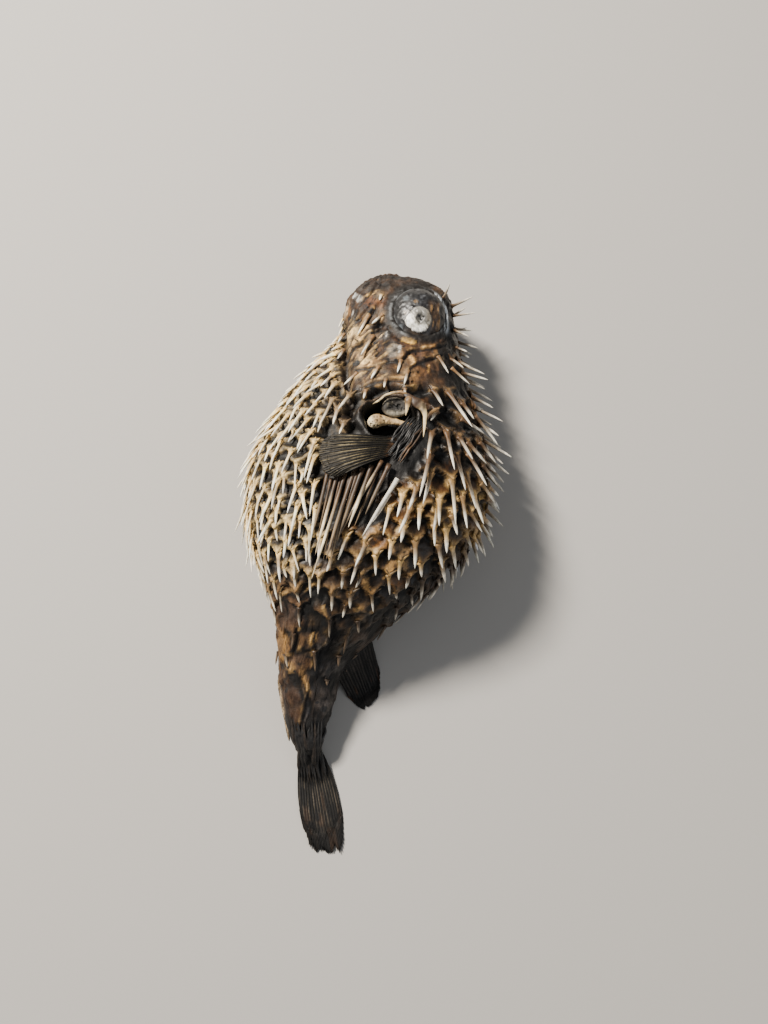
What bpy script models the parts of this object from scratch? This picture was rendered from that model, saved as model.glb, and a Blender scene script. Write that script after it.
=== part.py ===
"""A dried porcupine pufferfish at life size, lying on its right side.

+Y runs from the tail to the snout, +X from the belly to the back, +Z up.
The flat under the trunk lies on the floor, at z = 0, around the origin.
Sizes are in millimetres, turned into metres where the meshes are made.
"""
import math

import bmesh
import bpy
from mathutils import Matrix, Vector

MM = 0.001
GAP = 0.3                    # clear space between neighbouring pieces

# Body: its sections from the snout to the end of the tail stalk.
# y, belly edge x, back edge x, underside z, upper side z, squareness
SECTIONS = (
    (132.0, 13.0, 13.0, 29.0, 29.0, 2.2),
    (130.5, 2.5, 25.0, 18.0, 40.5, 2.3),
    (126.5, -4.5, 38.5, 11.5, 49.0, 2.4),
    (119.0, -10.6, 46.8, 8.0, 55.0, 2.5),
    (108.0, -13.6, 49.2, 6.0, 58.5, 2.6),
    (94.0, -16.0, 51.8, 4.5, 61.5, 2.6),
    (80.0, -27.5, 54.2, 2.5, 65.5, 2.4),
    (66.0, -39.0, 57.6, 0.0, 70.0, 2.3),
    (44.0, -53.8, 63.4, -4.0, 78.0, 2.2),
    (22.0, -63.6, 67.4, -6.0, 83.0, 2.2),
    (0.0, -66.4, 67.4, -7.0, 84.0, 2.2),
    (-22.0, -64.2, 60.5, -6.0, 81.0, 2.2),
    (-43.0, -56.6, 43.0, -4.0, 71.0, 2.2),
    (-54.0, -52.6, 29.5, -2.5, 62.5, 2.15),
    (-65.0, -50.5, 16.5, -1.0, 53.5, 2.1),
    (-76.0, -49.5, 4.5, 0.5, 44.5, 2.1),
    (-87.0, -48.6, -8.0, 1.5, 36.5, 2.1),
    (-98.0, -48.5, -14.2, 2.0, 31.0, 2.1),
    (-119.0, -46.6, -19.2, 2.0, 23.0, 2.1),
    (-131.0, -43.0, -23.2, 2.0, 17.5, 2.1),
    (-139.0, -38.2, -26.0, 2.0, 12.0, 2.1),
    (-140.5, -32.0, -32.0, 7.0, 7.0, 2.1),
)
ROWS = 36                    # bands of the body's grid from snout to tail
COLUMNS = 44                 # faces around one band
HEAD_ROWS = (0, 10)          # rows of each piece, cut with a thin gap
TRUNK_ROWS = (10, 27)
STALK_ROWS = (27, 36)
SPINY_ROWS = (8, 27)         # where the spines stand at their closest

# Spines grow from every second face of the grid, tips to the tail.
SPINE_FOOT = 2.1             # width of a spine where it leaves the skin
BACK_SPINE = 21.0            # lengths, by the part of the body
FLANK_SPINE = 18.0
BELLY_SPINE = 13.5
HEAD_SPINE = 9.5
STALK_SPINE = 7.0
LIFT_BACK = 33.0             # degrees between the spine and the skin
LIFT_FLANK = 21.0
LIFT_BELLY = 14.0
LIFT_LEAST = 12.0
BROW_SPINE = 14.0            # the few that stand up behind the brows
LIFT_BROW = 66.0
BROW_SPINE_Y = 84.0
SPINE_CLEAR = 1.0            # lowest height of a tip above the floor
SPINE_ROOT_LOW = 9.0         # no spines grow from the underside below this
BARE_SNOUT_Y = 113.0
AXIL_ROD = 42.0              # the long rods behind the pectoral fin
AXIL_LIFT = 9.0
AXIL_SLANT = 13.0            # degrees they lean towards the belly
AXIL_X = (-26.0, 20.0)
AXIL_Y = (-16.0, 1.0)

EYE_X, EYE_Y = 29.6, 99.6
EYE_HALF = (15.6, 17.0, 11.5)   # half sizes of the eyeball
EYE_Z_LEFT, EYE_Z_RIGHT = 54.0, 12.9
EYE_TILT = 11.0              # degrees the eyes look forward

MOUTH = (12.5, 123.5, 29.0)  # centre of the beak
BEAK = (6.0, 10.0, 12.0)     # half sizes: across the jaws, depth, width
BITE = 0.5                   # slit between the two jaws

GILL = (13.5, 36.5, 79.0)    # centre of the open gill chamber
GILL_SIZE = (16.0, 13.0, 15.0)
BONE_FROM = (1.0, 35.0, 71.5)
BONE_TO = (24.5, 38.2, 70.5)
BONE_R = 3.3
PLATE = (14.5, 43.8, 71.0)   # the porous gill plate
PLATE_SIZE = (7.0, 4.6, 3.6)

FIN_THICK = 1.0

FLESH_DARK = (0.045, 0.033, 0.024)
FLESH_BROWN = (0.16, 0.105, 0.066)
FLESH_CREAM = (0.42, 0.34, 0.235)
FIN_COLOUR = (0.05, 0.04, 0.03)
EYE_COLOUR = (0.30, 0.30, 0.28)
BONE_COLOUR = (0.42, 0.33, 0.22)
BEAK_COLOUR = (0.50, 0.43, 0.32)


# ------------------------------------------------------------ scene set-up

def clear_scene():
    for thing in list(bpy.data.objects):
        bpy.data.objects.remove(thing, do_unlink=True)


def collection(name):
    group = bpy.data.collections.new(name)
    bpy.context.scene.collection.children.link(group)
    return group


def material(name, colour, roughness):
    finish = bpy.data.materials.new(name)
    finish.use_nodes = True
    shader = finish.node_tree.nodes["Principled BSDF"]
    shader.inputs["Base Color"].default_value = (*colour, 1.0)
    shader.inputs["Roughness"].default_value = roughness
    shader.inputs["Metallic"].default_value = 0.0
    return finish


def add_object(name, mesh_data, finish, group):
    thing = bpy.data.objects.new(name, mesh_data)
    mesh_data.materials.append(finish)
    group.objects.link(thing)
    return thing


def mesh_from(bm, name):
    bmesh.ops.recalc_face_normals(bm, faces=bm.faces[:])
    data = bpy.data.meshes.new(name)
    bm.to_mesh(data)
    bm.free()
    return data


def metres(point):
    return Vector(point) * MM


# ------------------------------------------------------------ body surface

def chord_lengths():
    """Distance along the body's outline to each section."""
    travelled = [0.0]
    for near, far in zip(SECTIONS, SECTIONS[1:]):
        widen = (far[2] - far[1] - near[2] + near[1]) / 2
        travelled.append(travelled[-1] + math.hypot(far[0] - near[0], widen))
    return travelled


TRAVEL = chord_lengths()


def slope(index, field):
    """Slope of one field at a section, for a smooth curve through all."""
    before, after = max(index - 1, 0), min(index + 1, len(SECTIONS) - 1)
    rise = SECTIONS[after][field] - SECTIONS[before][field]
    return rise / (TRAVEL[after] - TRAVEL[before])


def section_at(distance):
    """The six numbers of the section at a distance along the outline."""
    index = 0
    while index < len(TRAVEL) - 2 and TRAVEL[index + 1] < distance:
        index += 1
    span = TRAVEL[index + 1] - TRAVEL[index]
    t = min(max((distance - TRAVEL[index]) / span, 0.0), 1.0)
    h00 = (1 + 2 * t) * (1 - t) ** 2
    h10 = t * (1 - t) ** 2
    h01 = t * t * (3 - 2 * t)
    h11 = t * t * (t - 1)
    return [h00 * SECTIONS[index][k] + h10 * span * slope(index, k)
            + h01 * SECTIONS[index + 1][k] + h11 * span * slope(index + 1, k)
            for k in range(6)]


def bump(distance, width):
    return math.exp(-(distance / width) ** 2)


def relief(x, y, z):
    """Height of the brows over the skin, and depth of the throat fold."""
    side = 1.0 if z > 32.0 else 0.55
    brow = 2.6 * side * bump(x - 43.5, 5.0) * bump(y - 100.0, 17.0)
    fold_x = -8.0 - 0.05 * (y - 60.0)
    fold = 3.0 * bump(x - fold_x, 6.0) * bump(y - 72.0, 24.0) * (z > 45.0)
    return brow - fold


def body_point(distance, angle):
    """A point of the skin: angle 0 is the back, 90 degrees the left side."""
    y, x_belly, x_back, z_low, z_high, square = section_at(distance)
    across, up = math.cos(angle), math.sin(angle)
    power = 2.0 / square
    x = (x_belly + x_back) / 2 + math.copysign(
        abs(across) ** power, across) * abs(x_back - x_belly) / 2
    z = (z_low + z_high) / 2 + math.copysign(
        abs(up) ** power, up) * abs(z_high - z_low) / 2
    height = relief(x, y, z)
    x += height * across
    z += height * up
    return Vector((x, y, max(z, 0.0)))


def ring_distance(ring):
    return TRAVEL[-1] * ring / ROWS


def ring_angle(column):
    return 2 * math.pi * column / COLUMNS


def body_piece(first, last):
    """One stretch of the body's grid, closed flat where it is parted."""
    bm = bmesh.new()
    bmesh.ops.create_uvsphere(bm, u_segments=COLUMNS, v_segments=ROWS, radius=1)
    row_of = bm.faces.layers.int.new("row")
    column_of = bm.faces.layers.int.new("column")
    rings = {}
    for vert in bm.verts:
        tilt = math.acos(max(-1.0, min(1.0, vert.co.z)))
        turn = math.atan2(vert.co.y, vert.co.x) % (2 * math.pi)
        rings[vert] = (round(tilt / math.pi * ROWS),
                       round(turn / (2 * math.pi) * COLUMNS) % COLUMNS)
    for face in bm.faces:
        centre = face.calc_center_median()
        tilt = math.acos(max(-1.0, min(1.0, centre.normalized().z)))
        turn = math.atan2(centre.y, centre.x) % (2 * math.pi)
        face[row_of] = int(tilt / math.pi * ROWS)
        face[column_of] = int(turn / (2 * math.pi) * COLUMNS)
    for vert, (ring, column) in rings.items():
        place = body_point(ring_distance(ring), ring_angle(column))
        if ring == first and first > 0:
            place.y -= GAP / 2
        if ring == last and last < ROWS:
            place.y += GAP / 2
        vert.co = place
    outside = [vert for vert, (ring, _) in rings.items()
               if ring < first or ring > last]
    bmesh.ops.delete(bm, geom=outside, context="VERTS")
    rims = [edge for edge in bm.edges if edge.is_boundary]
    if rims:
        caps = bmesh.ops.holes_fill(bm, edges=rims, sides=0)["faces"]
        for cap in caps:
            cap[row_of] = -1
    bmesh.ops.recalc_face_normals(bm, faces=bm.faces[:])
    return bm


# ------------------------------------------------------------ spines

def blend(low, high, amount):
    amount = max(0.0, min(1.0, amount))
    return low + (high - low) * amount


def on_axil(x, y, z):
    return AXIL_X[0] < x < AXIL_X[1] and AXIL_Y[0] < y < AXIL_Y[1] and z > 60


def spine_length(x, y, z, angle):
    """Length of the spine that grows here, or 0 where there is none."""
    if z < SPINE_ROOT_LOW or y > BARE_SNOUT_Y:
        return 0.0
    if math.hypot(x - EYE_X, y - EYE_Y) < EYE_HALF[1] + 3 and abs(z - 33) > 14:
        return 0.0
    in_gill = ((x - GILL[0]) / GILL_SIZE[0]) ** 2 + (
        (y - GILL[1]) / GILL_SIZE[1]) ** 2
    if in_gill < 1.5 and z > 55:
        return 0.0
    backward, upward = math.cos(angle), math.sin(angle)
    if y > BROW_SPINE_Y:
        return BROW_SPINE if backward > 0.75 else 0.0
    length = blend(BELLY_SPINE, FLANK_SPINE, (backward + 0.75) / 0.6)
    length = blend(length, BACK_SPINE, (backward - 0.1) / 0.5)
    if y > 58:
        length = blend(length, HEAD_SPINE, (y - 58) / 20)
        if backward > 0.55:
            length += 5.0
    if y < -40:
        length = blend(length, STALK_SPINE, (-40 - y) / 45)
    if y < -112:
        return 0.0
    over_fin = -32 < x < 20 and z > 60 and upward > 0
    if over_fin and -4 < y < 27:
        return 0.0
    if over_fin and 27 <= y < 48:
        length = min(length, y - 27)
    return length if length > 4.0 else 0.0


def spine_lift(angle, y):
    backward = math.cos(angle)
    if y > BROW_SPINE_Y:
        return math.radians(LIFT_BROW)
    lift = blend(LIFT_BELLY, LIFT_FLANK, (backward + 0.9) / 0.6)
    lift = blend(lift, LIFT_BACK, (backward - 0.3) / 0.6)
    if y > 45 and backward > 0.5:
        lift += 8.0
    lift -= blend(0.0, 14.0, -y / 50)
    return math.radians(max(lift, LIFT_LEAST))


def spine_here(row, column):
    """Staggered places: wide apart on the trunk, fewer on narrow bands."""
    if SPINY_ROWS[0] <= row < SPINY_ROWS[1]:
        return (row + column) % 2 == 0
    return row % 2 == 0 and (row + column) % 4 == 0


def grow_spines(bm):
    """Turn every second face of the grid into the foot of a spine."""
    row_of = bm.faces.layers.int["row"]
    column_of = bm.faces.layers.int["column"]
    for face in bm.faces[:]:
        row, column = face[row_of], face[column_of]
        if row < 0 or len(face.verts) != 4:
            continue
        centre = face.calc_center_median()
        angle = ring_angle(column + 0.5)
        axil = on_axil(*centre)
        if not (axil or spine_here(row, column)):
            continue
        length = spine_length(*centre, angle)
        lift = spine_lift(angle, centre.y)
        if axil:
            length, lift = AXIL_ROD, math.radians(AXIL_LIFT)
        if not length:
            continue
        ahead = body_point(ring_distance(row), angle)
        behind = body_point(ring_distance(row + 1), angle)
        tailward = (behind - ahead).normalized()
        normal = face.normal
        if axil:
            lean = math.radians(AXIL_SLANT)
            tailward = Vector((-math.sin(lean), -math.cos(lean), tailward.z))
            tailward.normalize()
        sides = sorted(edge.calc_length() for edge in face.edges)
        inset = (sides[0] - min(SPINE_FOOT, sides[0] * 0.5)) / 2
        bmesh.ops.inset_individual(bm, faces=[face], thickness=inset)
        top = bmesh.ops.poke(bm, faces=[face])["verts"][0]
        tip = top.co + tailward * length * math.cos(lift)
        tip += normal * length * math.sin(lift)
        tip.z = max(tip.z, SPINE_CLEAR)
        top.co = tip


def build_body(name, rows, finish, group):
    bm = body_piece(*rows)
    grow_spines(bm)
    for vert in bm.verts:
        vert.co *= MM
    return add_object(name, mesh_from(bm, name), finish, group)


# ------------------------------------------------------------ round pieces

def ellipsoid(name, centre, half, finish, group, columns=20, rows=12, tilt=0):
    """A rounded piece, tilted by some degrees about the X direction."""
    bm = bmesh.new()
    bmesh.ops.create_uvsphere(bm, u_segments=columns, v_segments=rows, radius=1)
    bmesh.ops.scale(bm, vec=metres(half), verts=bm.verts[:])
    bmesh.ops.rotate(bm, matrix=Matrix.Rotation(math.radians(tilt), 3, "X"),
                     verts=bm.verts[:])
    bmesh.ops.translate(bm, vec=metres(centre), verts=bm.verts[:])
    data = mesh_from(bm, name)
    data.shade_smooth()
    return add_object(name, data, finish, group)


def cut(body, cutter):
    """Take one shape out of another, and hide the shape that cuts."""
    modifier = body.modifiers.new("cut_" + cutter.name, "BOOLEAN")
    modifier.operation = "DIFFERENCE"
    modifier.solver = "EXACT"
    modifier.object = cutter
    cutter.display_type = "WIRE"
    cutter.hide_render = True


def grown(half, by=GAP):
    return tuple(value + by for value in half)


def build_eye(name, z, tilt, finish, head, group, cutters):
    centre = (EYE_X, EYE_Y, z)
    ellipsoid(name, centre, EYE_HALF, finish, group, 20, 8, tilt)
    cut(head, ellipsoid(name + "_socket", centre, grown(EYE_HALF), finish,
                        cutters, 20, 8, tilt))


def build_beak(finish, head, group, cutters):
    """The two jaw plates, halves of one rounded shape, parted by the bite."""
    cut(head, ellipsoid("mouth", MOUTH, grown(BEAK), finish, cutters, 16, 8))
    for name, side in (("beak_upper", 1), ("beak_lower", -1)):
        bm = bmesh.new()
        bmesh.ops.create_uvsphere(bm, u_segments=16, v_segments=8, radius=1)
        bmesh.ops.scale(bm, vec=Vector(BEAK), verts=bm.verts[:])
        bmesh.ops.translate(bm, vec=Vector(MOUTH), verts=bm.verts[:])
        plane = Vector((MOUTH[0] + side * BITE / 2, 0, 0))
        found = bmesh.ops.bisect_plane(
            bm, geom=bm.verts[:] + bm.edges[:] + bm.faces[:], dist=1e-5,
            plane_co=plane, plane_no=(-side, 0, 0), clear_outer=True)
        rim = [part for part in found["geom_cut"]
               if isinstance(part, bmesh.types.BMEdge)]
        bmesh.ops.holes_fill(bm, edges=rim, sides=0)
        for vert in bm.verts:
            vert.co *= MM
        add_object(name, mesh_from(bm, name), finish, group)


def bone_mesh(name, extra):
    """A short bone with swollen ends, thinner in the middle."""
    start, end = Vector(BONE_FROM), Vector(BONE_TO)
    axis = end - start
    bm = bmesh.new()
    bmesh.ops.create_uvsphere(bm, u_segments=10, v_segments=8, radius=1)
    for vert in bm.verts:
        along = vert.co.z
        waist = 0.72 + 0.38 * along * along - 0.12 * along
        vert.co.x *= (BONE_R * waist + extra)
        vert.co.y *= (BONE_R * waist + extra)
        vert.co.z *= axis.length / 2 + extra
    turn = axis.to_track_quat("Z", "Y").to_matrix().to_4x4()
    place = Matrix.Translation((start + end) / 2) @ turn
    bmesh.ops.transform(bm, matrix=place, verts=bm.verts[:])
    for vert in bm.verts:
        vert.co *= MM
    return mesh_from(bm, name)


# ------------------------------------------------------------ fins

def add_fin(name, shape, finish, group, across, along, extra=0.0):
    """A grid bent by shape(u, v), v from root to edge, and thickened."""
    bm = bmesh.new()
    bmesh.ops.create_grid(bm, x_segments=across, y_segments=along, size=0.5)
    for vert in bm.verts:
        u, v = vert.co.x + 0.5, vert.co.y + 0.5
        vert.co = metres(shape(u, v, extra))
    fin = add_object(name, mesh_from(bm, name), finish, group)
    wall = fin.modifiers.new("thickness", "SOLIDIFY")
    wall.thickness = (FIN_THICK + 2 * extra) * MM
    wall.offset = 0.0
    return fin


def build_fin(name, shape, finish, body, group, cutters, across, along):
    """A fin whose root is sunk in the body, with a thin gap all round."""
    add_fin(name, shape, finish, group, across, along)
    cut(body, add_fin(name + "_slot", shape, finish, cutters,
                      across, along, GAP))


def fan(u, v, root, edge, stretch, bulge=0.0):
    """A point between a root line and a fin's outer edge line."""
    low = Vector(root[0]).lerp(Vector(root[1]), u)
    high = Vector(edge[0]).lerp(Vector(edge[1]), u)
    ray = high - low
    high += ray.normalized() * bulge * 4 * u * (1 - u)
    spread = (Vector(root[1]) - Vector(root[0])).normalized()
    point = low.lerp(high, v)
    point += spread * stretch * (2 * u - 1)
    point += ray.normalized() * stretch * (2 * v - 1)
    return point


def pectoral_left(u, v, stretch):
    """Folded over the flank towards the belly, above the long rods."""
    point = fan(u, v, ((20.5, 23.0, 80.0), (20.5, 13.5, 80.0)),
                ((-21.5, 25.5, 85.5), (-19.0, 2.5, 86.0)), stretch, 3.5)
    point.z += 4.5 * math.sin(math.pi * v)
    return point


def pectoral_right(u, v, stretch):
    """Pressed flat between the body and the floor."""
    return fan(u, v, ((15.0, 28.0, 0.5), (15.0, 18.5, 0.5)),
               ((-20.0, 34.0, 0.5), (-20.0, 12.0, 0.5)), stretch, 3.5)


def tail_fin(u, v, stretch):
    """A closed fan that leaves the stalk's end and lies on the floor."""
    point = fan(u, v, ((-36.5, -131.0, 6.5), (-27.5, -131.0, 6.5)),
                ((-34.5, -184.0, 0.5), (-12.8, -182.0, 0.5)), stretch, 8.0)
    fall = min(1.0, v / 0.42)
    point.z = 0.5 + 6.0 * (1 - fall * fall * (3 - 2 * fall))
    belly = math.sin(math.pi * min(1.0, v * 1.1))
    point.x += -3.0 * belly * (1 - u) + 2.5 * belly * u
    return point


def dorsal_fin(u, v, stretch):
    """Laid flat on the floor beside the tail stalk."""
    point = fan(u, v, ((2.5, -73.5, 16.0), (-17.0, -94.0, 14.0)),
                ((7.5, -102.0, 0.5), (-9.5, -114.5, 0.5)), stretch, 5.0)
    fall = min(1.0, v / 0.75)
    point.z = 0.5 + 14.5 * (1 - fall) ** 1.5
    return point


def anal_fin(u, v, stretch):
    """Folded under the belly edge of the tail stalk."""
    point = fan(u, v, ((-43.0, -78.0, 12.0), (-42.5, -98.0, 10.5)),
                ((-51.5, -100.0, 1.2), (-47.0, -131.0, 0.5)), stretch, 3.0)
    fall = min(1.0, v / 0.8)
    point.z = 0.5 + 10.0 * (1 - fall) ** 1.3
    return point


# ------------------------------------------------------------ the fish

def main():
    clear_scene()
    fish = collection("porcupine_pufferfish")
    cutters = collection("cutters")
    skin = material("skin_brown", FLESH_BROWN, 0.65)
    cream = material("skin_cream", FLESH_CREAM, 0.6)
    dark = material("skin_dark", FLESH_DARK, 0.6)
    fins = material("fin_dark", FIN_COLOUR, 0.6)
    eye = material("eye_clouded", EYE_COLOUR, 0.3)
    bone = material("bone", BONE_COLOUR, 0.7)
    beak = material("beak", BEAK_COLOUR, 0.45)

    head = build_body("head", HEAD_ROWS, skin, fish)
    trunk = build_body("trunk", TRUNK_ROWS, cream, fish)
    stalk = build_body("tail_stalk", STALK_ROWS, dark, fish)

    build_eye("eye_left", EYE_Z_LEFT, -EYE_TILT, eye, head, fish, cutters)
    build_eye("eye_right", EYE_Z_RIGHT, EYE_TILT, eye, head, fish, cutters)
    build_beak(beak, head, fish, cutters)

    cut(trunk, ellipsoid("gill_chamber", GILL, GILL_SIZE, skin, cutters,
                         20, 8))
    add_object("shoulder_bone", bone_mesh("shoulder_bone", 0.0), bone, fish)
    cut(trunk, add_object("bone_seat", bone_mesh("bone_seat", GAP), bone,
                          cutters))
    ellipsoid("gill_plate", PLATE, PLATE_SIZE, bone, fish, 14, 6)
    cut(trunk, ellipsoid("plate_seat", PLATE, grown(PLATE_SIZE), bone,
                         cutters, 14, 6))

    build_fin("pectoral_fin_left", pectoral_left, fins, trunk, fish,
              cutters, 6, 4)
    build_fin("pectoral_fin_right", pectoral_right, fins, trunk, fish,
              cutters, 6, 3)
    build_fin("tail_fin", tail_fin, fins, stalk, fish, cutters, 6, 7)
    build_fin("dorsal_fin", dorsal_fin, fins, stalk, fish, cutters, 6, 4)
    build_fin("anal_fin", anal_fin, fins, stalk, fish, cutters, 4, 5)


main()
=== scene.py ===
"""A dried porcupine pufferfish: its skin, spines, fins, eyes and bones.

Lengths are in millimetres in the code, and become metres in the meshes.
+Y runs from the tail to the snout, +X from the belly to the back, +Z up.
"""
import math
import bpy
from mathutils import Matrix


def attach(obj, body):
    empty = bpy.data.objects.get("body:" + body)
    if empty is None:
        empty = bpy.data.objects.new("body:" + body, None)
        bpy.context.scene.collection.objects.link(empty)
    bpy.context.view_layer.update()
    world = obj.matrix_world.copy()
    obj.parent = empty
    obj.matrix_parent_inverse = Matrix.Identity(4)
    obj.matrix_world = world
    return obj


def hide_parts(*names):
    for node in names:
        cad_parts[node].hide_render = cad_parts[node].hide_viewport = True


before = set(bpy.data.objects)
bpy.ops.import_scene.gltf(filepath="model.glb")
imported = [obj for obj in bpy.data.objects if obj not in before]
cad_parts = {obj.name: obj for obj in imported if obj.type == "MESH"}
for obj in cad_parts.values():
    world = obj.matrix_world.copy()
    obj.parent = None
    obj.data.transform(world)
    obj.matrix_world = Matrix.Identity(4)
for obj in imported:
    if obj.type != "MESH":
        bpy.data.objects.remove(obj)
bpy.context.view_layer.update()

from types import SimpleNamespace

import bpy
import numpy as np
from mathutils import Matrix, Vector

MM = 0.001

# The body's sections from the snout to the end of the tail stalk:
# y, belly edge x, back edge x, underside z, upper side z, squareness
SECTIONS = np.array((
    (132, 13, 13, 29, 29, 2.2),
    (130.5, 2.5, 25, 18, 40.5, 2.3),
    (126.5, -4.5, 38.5, 11.5, 49, 2.4),
    (119, -10.6, 46.8, 8, 55, 2.5),
    (108, -13.6, 49.2, 6, 58.5, 2.6),
    (94, -16, 51.8, 4.5, 61.5, 2.6),
    (80, -27.5, 54.2, 2.5, 65.5, 2.4),
    (66, -39, 57.6, 0, 70, 2.3),
    (44, -53.8, 63.4, -4, 78, 2.2),
    (22, -63.6, 67.4, -6, 83, 2.2),
    (0, -66.4, 67.4, -7, 84, 2.2),
    (-22, -64.2, 60.5, -6, 81, 2.2),
    (-43, -56.6, 43, -4, 71, 2.2),
    (-54, -52.6, 29.5, -2.5, 62.5, 2.15),
    (-65, -50.5, 16.5, -1, 53.5, 2.1),
    (-76, -49.5, 4.5, 0.5, 44.5, 2.1),
    (-87, -48.6, -8, 1.5, 36.5, 2.1),
    (-98, -48.5, -14.2, 2, 31, 2.1),
    (-119, -46.6, -19.2, 2, 23, 2.1),
    (-131, -43, -23.2, 2, 17.5, 2.1),
    (-139, -38.2, -26, 2, 12, 2.1),
    (-140.5, -32, -32, 7, 7, 2.1)))
SKIN_FLOOR = 1.4             # the pressed side lies this high, on its spines

AROUND, ALONG = 318, 306     # faces of the skin's grid
HEAD_SHARE = 0.40            # share of the rings that the head takes
HEAD_END_Y, TRUNK_END_Y = 62, -68

# Both eyes' x and y, their half sizes, their heights, and their tilt in degrees
EYE = np.array((28.6, 100.6))
EYE_HALF = (15.6, 17, 11.5)
EYE_Z = {"eye_left": 54, "eye_right": 12.9}
EYE_TILT = 11
MOUTH = (12.5, 29)           # x and z of the middle of the mouth
GILL = (12.6, 37.4)          # x and y of the middle of the open gill
GILL_HALF = (15.4, 12.6)
GILL_DEPTH = 13.5
PATCH = 0.003                # size of one spine's place on the unwrap
UPPER = 40                   # skin above this height is on the upper side
BLOCK = 3000                 # points of the skin that are worked out at once
RODS_ON_SIDE = 15            # bare rods behind the pectoral fin
AXIL_FOLDS = 12              # wrinkled folds behind the fin's root
FRINGE_FIBRES = 11           # torn fibres round the end of the tail stalk
FIN_WALL = 0.55              # thickness of a fin's web
FLOOR_GAP = 0.15             # no spine comes closer to the floor
GLOSS_RANGE = -0.2           # how much the wet skin's roughness falls

rng = np.random.default_rng(20)


# ---------------- small helpers

def mix(low, high, amount):
    return low + (high - low) * amount


def smooth(start, end, value):
    """0 before start, 1 past end, with a soft step between."""
    t = np.clip((value - start) / (end - start), 0, 1)
    return t * t * (3 - 2 * t)


def bump(distance, width):
    return np.exp(-(distance / width) ** 2)


def unit(vectors):
    size = np.linalg.norm(vectors, axis=-1, keepdims=True)
    return vectors / np.maximum(size, 1e-9)


def dot(a, b):
    return (a * b).sum(-1)


def lattice_value(cell, seed):
    """A fixed random number from 0 to 1 for each whole-numbered cell."""
    mixed = (cell[..., 0] * 73856093) ^ (cell[..., 1] * 19349663)
    mixed ^= (cell[..., 2] * 83492791) ^ (seed * 2654435)
    mixed = (mixed * 1103515245 + 12345) & 0x7FFFFFFF
    mixed = ((mixed >> 7) * 69069 + 362437) & 0x7FFFFFFF
    return mixed / 0x7FFFFFFF


def noise(points, size, seed=0):
    """Soft random values from -1 to 1; size is one or three lengths."""
    place = points / np.asarray(size)
    cell = np.floor(place).astype(np.int64)
    t = place - cell
    t = t * t * (3 - 2 * t)
    total = 0
    for corner in np.ndindex(2, 2, 2):
        side = np.array(corner)
        weight = np.prod(np.where(side == 1, t, 1 - t), axis=-1)
        total += weight * lattice_value(cell + side, seed)
    return total * 2 - 1


def rough(points, size, seed=0):
    """Noise in three octaves."""
    size = np.asarray(size)
    return (noise(points, size, seed) + 0.5 * noise(points, size / 2, seed + 7)
            + 0.25 * noise(points, size / 4, seed + 13)) / 1.75


# ---------------- body surface

def chord_lengths():
    step = np.diff(SECTIONS, axis=0)
    widen = (step[:, 2] - step[:, 1]) / 2
    return np.concatenate(((0,), np.cumsum(np.hypot(step[:, 0], widen))))


TRAVEL = chord_lengths()
LENGTH = TRAVEL[-1]
LAST = len(TRAVEL) - 1
BEFORE = np.maximum(np.arange(LAST + 1) - 1, 0)
AFTER = np.minimum(np.arange(LAST + 1) + 1, LAST)
SLOPES = ((SECTIONS[AFTER] - SECTIONS[BEFORE])
          / (TRAVEL[AFTER] - TRAVEL[BEFORE])[:, None])


def sections_at(distance):
    """The body's section at each distance along its outline."""
    i = np.searchsorted(TRAVEL, distance, side="left") - 1
    i = np.clip(i, 0, LAST - 1)
    span = (TRAVEL[i + 1] - TRAVEL[i])[:, None]
    t = np.clip((distance - TRAVEL[i])[:, None] / span, 0, 1)
    h00 = (1 + 2 * t) * (1 - t) ** 2
    h10 = t * (1 - t) ** 2
    h01 = t * t * (3 - 2 * t)
    h11 = t * t * (t - 1)
    return (h00 * SECTIONS[i] + h10 * span * SLOPES[i] + h01 * SECTIONS[i + 1]
            + h11 * span * SLOPES[i + 1])


def broad_relief(x, y, z):
    side = np.where(z > 32, 1, 0.55)
    brow = 2.6 * side * bump(x - 43.5, 5) * bump(y - 100, 17)
    fold_x = -8 - 0.05 * (y - 60)
    fold = 3 * bump(x - fold_x, 6) * bump(y - 72, 24) * (z > 45)
    return brow - fold


def body_points(distance, angle):
    """Points of the skin: angle 0 is the back, 90 degrees the left side."""
    y, x_belly, x_back, z_low, z_high, square = sections_at(distance).T
    across, up = np.cos(angle), np.sin(angle)
    power = 2 / square
    x = (x_belly + x_back) / 2 + (np.sign(across) * np.abs(across) ** power * abs(x_back - x_belly) / 2)
    z = (z_low + z_high) / 2 + (np.sign(up) * np.abs(up) ** power * abs(z_high - z_low) / 2)
    height = broad_relief(x, y, z)
    x += height * across
    z = np.maximum(z + height * up, SKIN_FLOOR)
    return np.stack((x, y, z), -1)


def frames(distance, angle):
    """Points with their tailward, sideways and outward directions."""
    distance = np.clip(distance, 0.4, LENGTH - 0.4)
    step, turn = 0.5, 0.012
    point = body_points(distance, angle)
    tail = unit(body_points(distance + step, angle) - body_points(distance - step, angle))
    side = unit(body_points(distance, angle + turn) - body_points(distance, angle - turn))
    out = unit(np.cross(side, tail))
    side = unit(np.cross(tail, out))
    return point, tail, side, out


def distance_of(y):
    """Distance along the outline where the body's section is at this y."""
    travel = np.linspace(0, LENGTH, 1200)
    line = sections_at(travel)[:, 0]
    return float(np.interp(-y, -line, travel))


# ---------------- spine roots

BELLY_ANGLE = math.radians(110)    # where the belly's small spines begin

# Columns of the table of roots
(AT, ANGLE, HALF, REACH, LENGTH_OF, LIFT, LEAN, THICK, KIND, LUCK) = range(10)
BODY, COMBED, CHEEK, ROD, PALE_ROD = range(5)


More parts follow.
